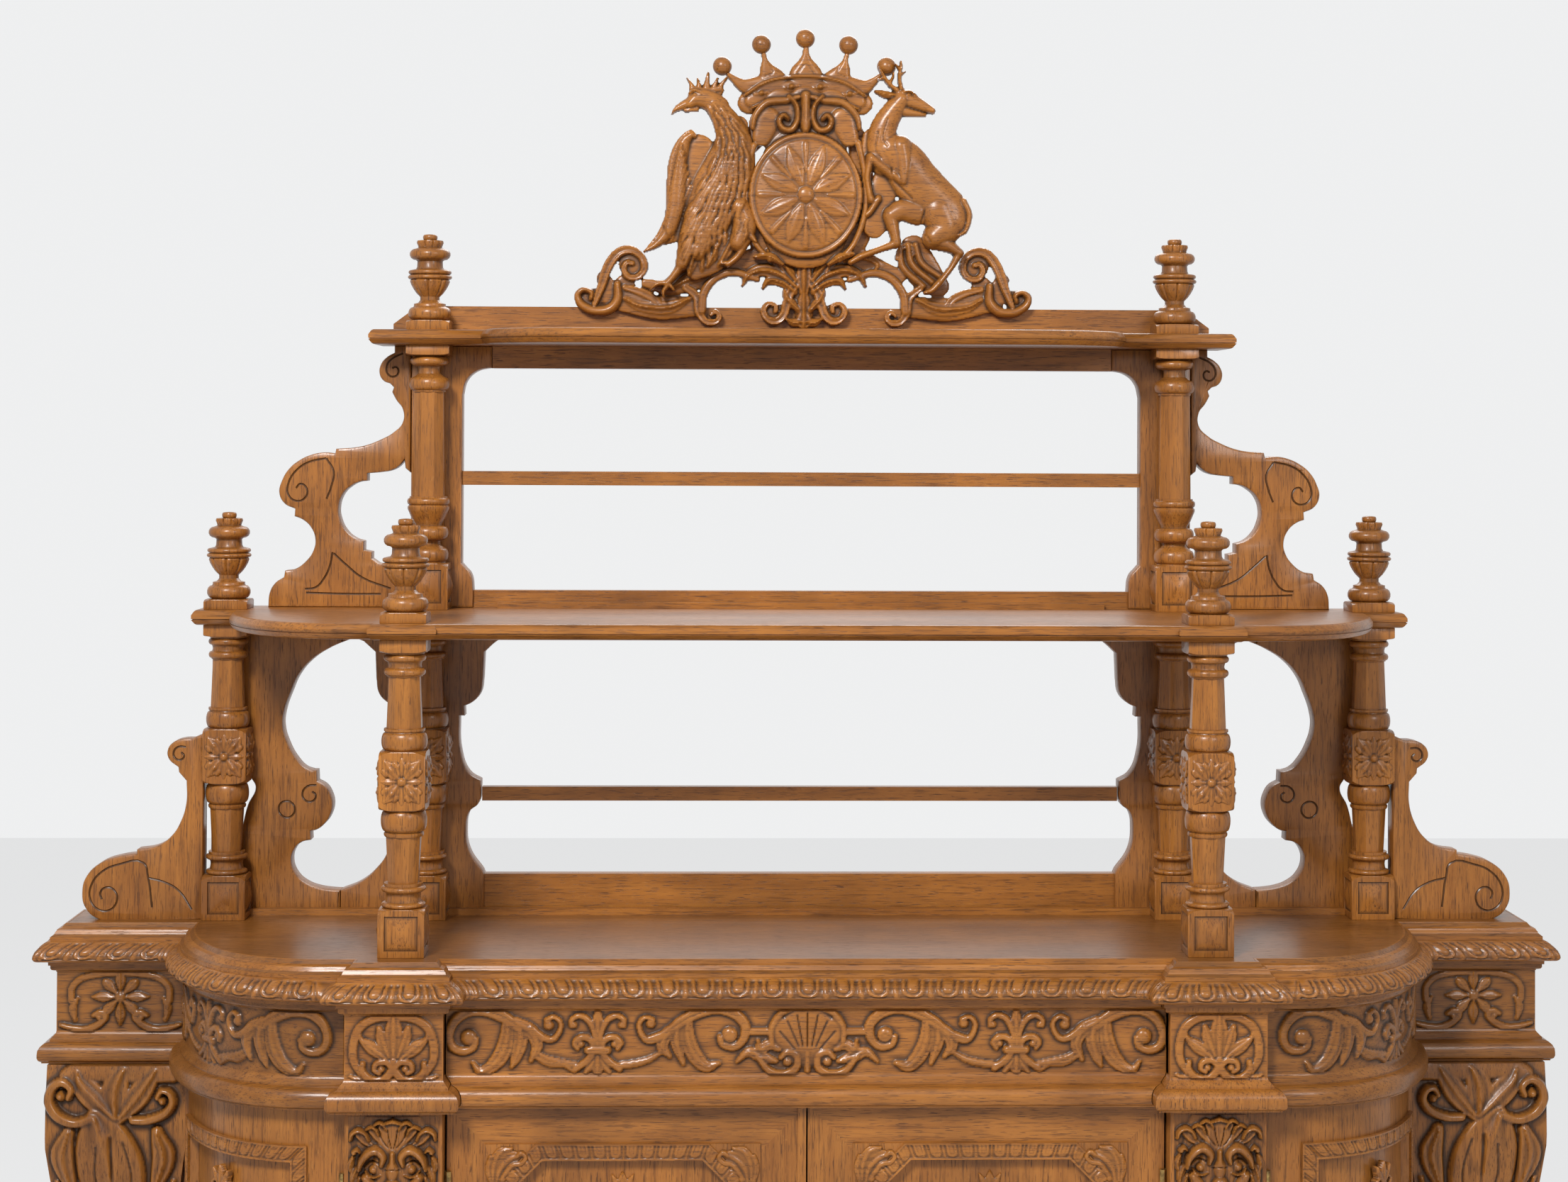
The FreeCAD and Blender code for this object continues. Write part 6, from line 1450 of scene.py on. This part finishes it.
door = {"middle": 315.75, "centre": 510.5, "wide": 222.7, "tall": 261, "clip": 80, "face": -216, "panel": -202,
        "drop": 52}
bowDoor = {"from": 80.5, "to": 414, "low": 249.5, "high": 771.5, "reach": -1.6, "finial": 716}
for word, side in (("left", -1), ("right", 1)):
    cx, cz, wide, tall, clip = side * door["middle"], door["centre"], door["wide"], door["tall"], door["clip"]
    ring = [(cx + a * wide + c * clip, cz + b * tall + d * clip) for a, b, c, d in (
        (-1, -1, 0, 1), (-1, -1, 1, 0), (1, -1, -1, 0), (1, -1, 0, 1),
        (1, 1, 0, -1), (1, 1, -1, 0), (-1, 1, 1, 0), (-1, 1, 0, -1))]
    name = word.capitalize()
    parts = [bandRound("doorBand" + name, ring, lambda x, z, h: (x, door["face"] + band["sunk"] - h, z))]
    for k, (across, up) in enumerate(((-1, 1), (1, 1), (-1, -1), (1, -1))):
        originX, originZ = cx + across * (wide + spray["out"]), cz + up * (tall + spray["out"])
        parts.append(carved(f"doorSpray{name}{k}", spray["area"], spray["step"], sized(corner, up=-1),
                            lambda x, y, h: (originX - across * x, door["face"] + spray["sunk"] - h * spray["share"],
                                             originZ + up * y), cut=spray["cut"], depth=spray["depth"]))
    parts.append(carved("doorFinial" + name, tuft["area"], tuft["step"], sized(finial),
                        lambda x, y, h: (cx + x, door["panel"] - h, cz + tall - door["drop"] + y),
                        cut=tuft["cut"], depth=tuft["depth"]))
    dress(joinedPiece("centreDoorCarving" + name, parts), oakCarved, body="centre_door_" + word, smooth=50)

    def bent(s, z, h):
        bx, by = bowSpot(s, bowDoor["reach"] + h)
        return side * bx, by, z

    start, end, low, high = (bowDoor[label] for label in ("from", "to", "low", "high"))
    ring = [(start, low), (end, low), (end, high), (start, high)]
    parts = [bandRound("bowBand" + name, ring, bent),
             carved("bowFinial" + name, bowTuft["area"], bowTuft["step"], sized(finial, bowTuft["size"]),
                    lambda x, y, h: bent((start + end) / 2 + x, bowDoor["finial"] + y, h), cut=tuft["cut"],
                    depth=tuft["depth"])]
    dress(joinedPiece("bowDoorCarving" + name, parts), oakCarved, body="bow_door_" + word, smooth=50)
print("door carvings laid")


# lion masks on the pilasters, drawn in units of 0.1685 mm from the middle of the forehead
lion = {"unit": 0.1685, "middle": 518, "level": 862}
lionHalf = [
    ("f", 5, [(518, 300, 330), (518, 700, 400), (518, 980, 300)]),
    ("f", 13, [(518, 260, 130), (518, 420, 170), (518, 620, 210), (518, 860, 180)]),
    ("r", 17, [(92, 345, 18), (112, 280, 26), (175, 248, 28), (240, 278, 24), (278, 345, 16)]),
    ("r", 15, [(250, 240, 15), (300, 215, 20), (350, 238, 20), (378, 295, 12)]),
    ("r", 18, [(335, 195, 14), (378, 170, 21), (428, 190, 20), (456, 245, 12)]),
    ("r", 20, [(440, 178, 16), (518, 155, 25)]), ("c", 14, [(180, 300, 40), (240, 360, 34), (330, 410, 20)]),
    ("c", 14, [(305, 255, 34), (370, 330, 30), (430, 390, 18)]),
    ("c", 16, [(400, 215, 30), (440, 300, 26), (480, 390, 14)]),
    ("c", 17, [(518, 180, 40), (518, 280, 34), (518, 400, 20)]),
    ("v", 5, [(470, 240, 8), (480, 320, 8), (505, 420, 6)]), ("v", 5, [(370, 260, 8), (420, 350, 8), (480, 420, 6)]),
    ("r", 25, [(185, 640, 18), (215, 540, 40), (290, 460, 52), (365, 445, 56), (425, 505, 48), (410, 590, 26)]),
    ("v", 6, [(220, 620, 10), (290, 560, 12), (350, 560, 10), (395, 590, 8)]),
    ("r", 15, [(328, 640, 50), (330, 641, 50)]),
    ("r", 18, [(250, 655, 10), (290, 700, 12), (345, 712, 12), (400, 690, 10)]),
    ("r", 21, [(518, 470, 34), (518, 560, 44), (518, 640, 84), (518, 730, 62)]),
    ("v", 4, [(440, 640, 8), (518, 625, 8)]), ("r", 21, [(250, 720, 50), (300, 800, 74), (350, 880, 60)]),
    ("f", 28, [(518, 800, 92), (518, 830, 60)]), ("v", 8, [(470, 830, 12), (450, 812, 8)]),
    ("r", 27, [(440, 905, 86), (420, 930, 74)]), ("v", 7, [(518, 860, 7), (518, 950, 8)]),
    ("v", 7, [(518, 950, 8), (450, 985, 9), (370, 975, 8), (330, 940, 6)]),
    ("r", 20, [(518, 1030, 70), (518, 1060, 54)]), ("v", 3, [(400, 890, 4), (350, 900, 3)]),
    ("v", 3, [(405, 915, 4), (355, 930, 3)]), ("r", 17, [(130, 470, 30), (160, 440, 22), (190, 470, 14)]),
    ("v", 4, [(125, 470, 8), (150, 455, 6)]), ("l", 14, [(120, 520, 20), (95, 600, 38), (110, 690, 10)]),
    ("l", 16, [(175, 600, 20), (130, 700, 42), (110, 810, 10)]),
    ("l", 15, [(190, 720, 20), (160, 820, 42), (120, 920, 10)]),
    ("l", 16, [(240, 820, 20), (210, 930, 44), (150, 1030, 10)]),
    ("l", 16, [(310, 920, 20), (280, 1030, 44), (230, 1120, 10)]),
    ("l", 16, [(390, 1010, 20), (370, 1110, 42), (330, 1190, 10)]),
    ("l", 17, [(470, 1060, 20), (460, 1160, 40), (440, 1240, 10)]),
    ("l", 18, [(518, 1090, 26), (518, 1200, 40), (518, 1280, 10)]),
]
drawnLion = fromDrawing(lion, lionHalf)
mask = {"area": (-76, 76, 636, 842), "step": 1.5, "sunk": 3.6, "depth": 3}
for word, side in (("Left", -1), ("Right", 1)):
    dress(carved("lionMask" + word, mask["area"], mask["step"], drawnLion + turnedOver(drawnLion),
                 lambda x, y, h: (side * middle + x, panelFace + mask["sunk"] - h, y), depth=mask["depth"]),
          oakCarvedUpright, smooth=55)
print("lion masks carved")


# consoles on the dies of the wings: leaves and volutes over an S-shaped body
console = {"area": (-126, 126, 172, 850), "step": 2.5, "back": 137, "depth": 3}
profile = [(172, 112), (205, 104), (260, 98), (330, 104), (420, 118), (500, 122), (580, 116), (650, 104), (720, 96),
           (780, 98), (830, 106), (850, 110)]
waist = [(172, 1), (260, 0.98), (420, 0.78), (560, 0.84), (700, 1), (850, 1)]


def consoleStrokes():
    lay = {"unit": 0.431, "middle": 522, "level": 1000}
    strokes = fromDrawing(lay, [
        ("f", 12, [(330, 400, 50), (420, 360, 60), (600, 355, 70), (760, 380, 40)]),
        ("l", 19, [(522, 560, 30), (440, 480, 56), (380, 420, 46), (360, 370, 14)]),
        ("l", 20, [(530, 560, 30), (520, 460, 60), (540, 390, 40), (560, 360, 12)]),
        ("l", 19, [(545, 560, 26), (610, 480, 50), (660, 410, 40), (690, 365, 12)]),
        ("f", 20, [(430, 560, 20), (360, 580, 22), (290, 555, 24), (252, 500, 24), (258, 440, 22), (300, 412, 20),
                   (338, 440, 17), (330, 478, 14)]),
        ("f", 19, [(600, 570, 18), (660, 570, 20), (730, 545, 20), (764, 500, 18), (752, 460, 16), (718, 450, 14),
                   (700, 478, 12)]),
        dot("r", 22, 296, 470, 22), dot("r", 20, 722, 492, 18),
        ("l", 24, [(440, 560, 40), (480, 680, 120), (510, 820, 150), (530, 980, 110), (540, 1120, 30)]),
        ("l", 18, [(330, 620, 24), (300, 740, 50), (330, 880, 20)]),
        ("l", 18, [(700, 620, 24), (730, 740, 50), (700, 880, 20)]),
        ("l", 17, [(400, 900, 24), (360, 1020, 46), (390, 1160, 14)]),
        ("l", 17, [(650, 900, 24), (690, 1020, 46), (660, 1160, 14)]),
        ("v", 5, [(510, 640, 10), (520, 860, 10), (535, 1080, 8)]),
        ("v", 4, [(450, 680, 8), (440, 820, 8), (490, 960, 6)]),
        ("v", 4, [(560, 660, 8), (600, 820, 8), (570, 980, 6)]),
    ])
    for way in (-1, 1):
        strokes.append(("r", [(way * x, y, w, h) for x, y, w, h in (
            (112, 640, 5, 8), (96, 520, 5, 8), (74, 420, 5, 8), (84, 320, 5, 8), (104, 250, 6, 8), (100, 205, 6, 9),
            (78, 190, 6, 9), (62, 206, 5, 9), (72, 222, 4, 9))]))
        strokes.append(("l", [(way * 60, 470, 6, 9), (way * 46, 400, 16, 10), (way * 56, 330, 4, 8)]))
    strokes += [("l", [(0, 500, 10, 12), (0, 400, 26, 13), (0, 290, 8, 10)]), ("f", [(0, 230, 46, 8), (0, 232, 46, 8)]),
                ("r", [(0, 230, 13, 13), (0.3, 230, 13, 13)])]
    for k in range(8):
        c, s = math.cos(math.tau * k / 8), math.sin(math.tau * k / 8)
        strokes.append(("l", [(r * c, 230 + r * s, w, h) for r, w, h in ((14, 4, 11), (28, 9, 12), (42, 2, 9))]))
    return turnedOver(strokes)


levels, depths = np.array(profile, float).T
widthLevels, widths = np.array(waist, float).T
for word, side in (("left", -1), ("right", 1)):

    def onConsole(x, y, h):
        front = np.interp(y, levels, depths)
        wide = np.interp(y, widthLevels, widths)
        behind = h < -console["depth"] + 0.1
        return side * (wingMiddle + x * wide), np.where(behind, console["back"], front - h), y

    dress(carved("console" + word.capitalize(), console["area"], console["step"], consoleStrokes(), onConsole,
                 depth=console["depth"]), oakCarvedUpright, replaced=["console_" + word], smooth=50)
print("consoles carved")


# the CAD nodes that show as they are
nodeGrain = {
    oakTopPaintedShade: "counter_top",
    oakAcross: "plinth cabinet_floor cupboard_shelves drawer_board lower_back_rail plate_rails upper_top_rail "
               "upper_back_rail gallery_rail",
    oakUpright: "wing_case_left wing_case_right cabinet_back partitions feet centre_door_left_panel "
                "centre_door_right_panel bow_door_left_panel bow_door_right_panel bow_door_left_frame "
                "bow_door_right_frame",
    oakDeep: "centre_drawer_box",
    brass: "fixed_hinges centre_door_left_hinges centre_door_right_hinges bow_door_left_hinges "
           "bow_door_right_hinges",
}


def finishNode(node, finish):
    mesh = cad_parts[node].data
    mesh.materials.clear()
    mesh.materials.append(finish)


for finish, words in nodeGrain.items():
    for node in words.split():
        finishNode(node, finish)
doorFrame = {"middle": 0.309, "level": 0.5105, "halfWide": 0.307, "halfTall": 0.3385}
for word, side in (("left", -1), ("right", 1)):
    lay = (side * doorFrame["middle"], doorFrame["level"], doorFrame["halfWide"], doorFrame["halfTall"])
    finishNode(f"centre_door_{word}_frame", oak("oakFrame" + word.capitalize(), 0, turned=lay))
print("plain boards finished")


# the stage: the photograph's camera, a pale floor and world, and three lamps
photograph = {"lens": 65.1, "sensor": 36, "shift": (-0.01439, -0.1276), "place": (-0.1504, -5.0967, 1.9998),
              "yaw": 0.02950, "pitch": 0.015555, "roll": 0.00451}
room = {"pale": (0.86, 0.865, 0.87, 1), "floor": (0.9, 0.9, 0.9, 1), "glow": 0.97, "glowShare": 0.86,
        "white": (1, 1, 1, 1), "light": 0.27, "half": 9000}
lamps = {"keyLamp": {"place": (-1.6, -4.0, 4.6), "aim": 1.3, "size": 1.1, "energy": 290},
         "fillLamp": {"place": (2.6, -4.4, 3.6), "aim": 1.4, "size": 1.4, "energy": 75},
         "rearLamp": {"place": (0.5, 3.0, 4.4), "aim": 1.6, "size": 2.2, "energy": 70}}

bm = bmesh.new()
bmesh.ops.create_grid(bm, x_segments=1, y_segments=1, size=room["half"])
ground = pieceFrom("paleFloor", bm)
floorFinish = Finish("paleFloor")
floorFinish.feed(Base_Color=room["floor"], Roughness=0.7)
glow = floorFinish.node("ShaderNodeEmission", {}, {"Color": room["pale"], "Strength": room["glow"]})
floorFinish.shown(glow, floorFinish.rays() * room["glowShare"], "Material Output")
ground.data.materials.append(floorFinish.material)

studio = Finish("studio", bpy.data.worlds.new("studio"))
bpy.context.scene.world = studio.material
studio.feed(Color=room["white"], Strength=room["light"])
studio.shown(studio.node("ShaderNodeBackground", {}, {"Color": room["pale"]}), studio.rays(), "World Output")

for name, lamp in lamps.items():
    light = bpy.data.lights.new(name, "AREA")
    light.size, light.energy = lamp["size"], lamp["energy"]
    holder = linked(name, light)
    holder.location = lamp["place"]
    aim = Vector((0, 0, lamp["aim"])) - Vector(lamp["place"])
    holder.rotation_euler = aim.to_track_quat("-Z", "Y").to_euler()

lens = bpy.data.cameras.new("photographCamera")
lens.lens, lens.sensor_width = photograph["lens"], photograph["sensor"]
lens.shift_x, lens.shift_y = photograph["shift"]
camera = linked("photographCamera", lens)
camera.matrix_world = (Matrix.Translation(photograph["place"]) @ Matrix.Rotation(-photograph["yaw"], 4, "Z")
                       @ Matrix.Rotation(photograph["pitch"], 4, "X") @ Matrix.Rotation(-photograph["roll"], 4, "Y")
                       @ Matrix.Rotation(math.pi / 2, 4, "X"))
bpy.context.scene.camera = camera
bpy.context.scene.view_settings.view_transform = "Standard"
print("stage set")
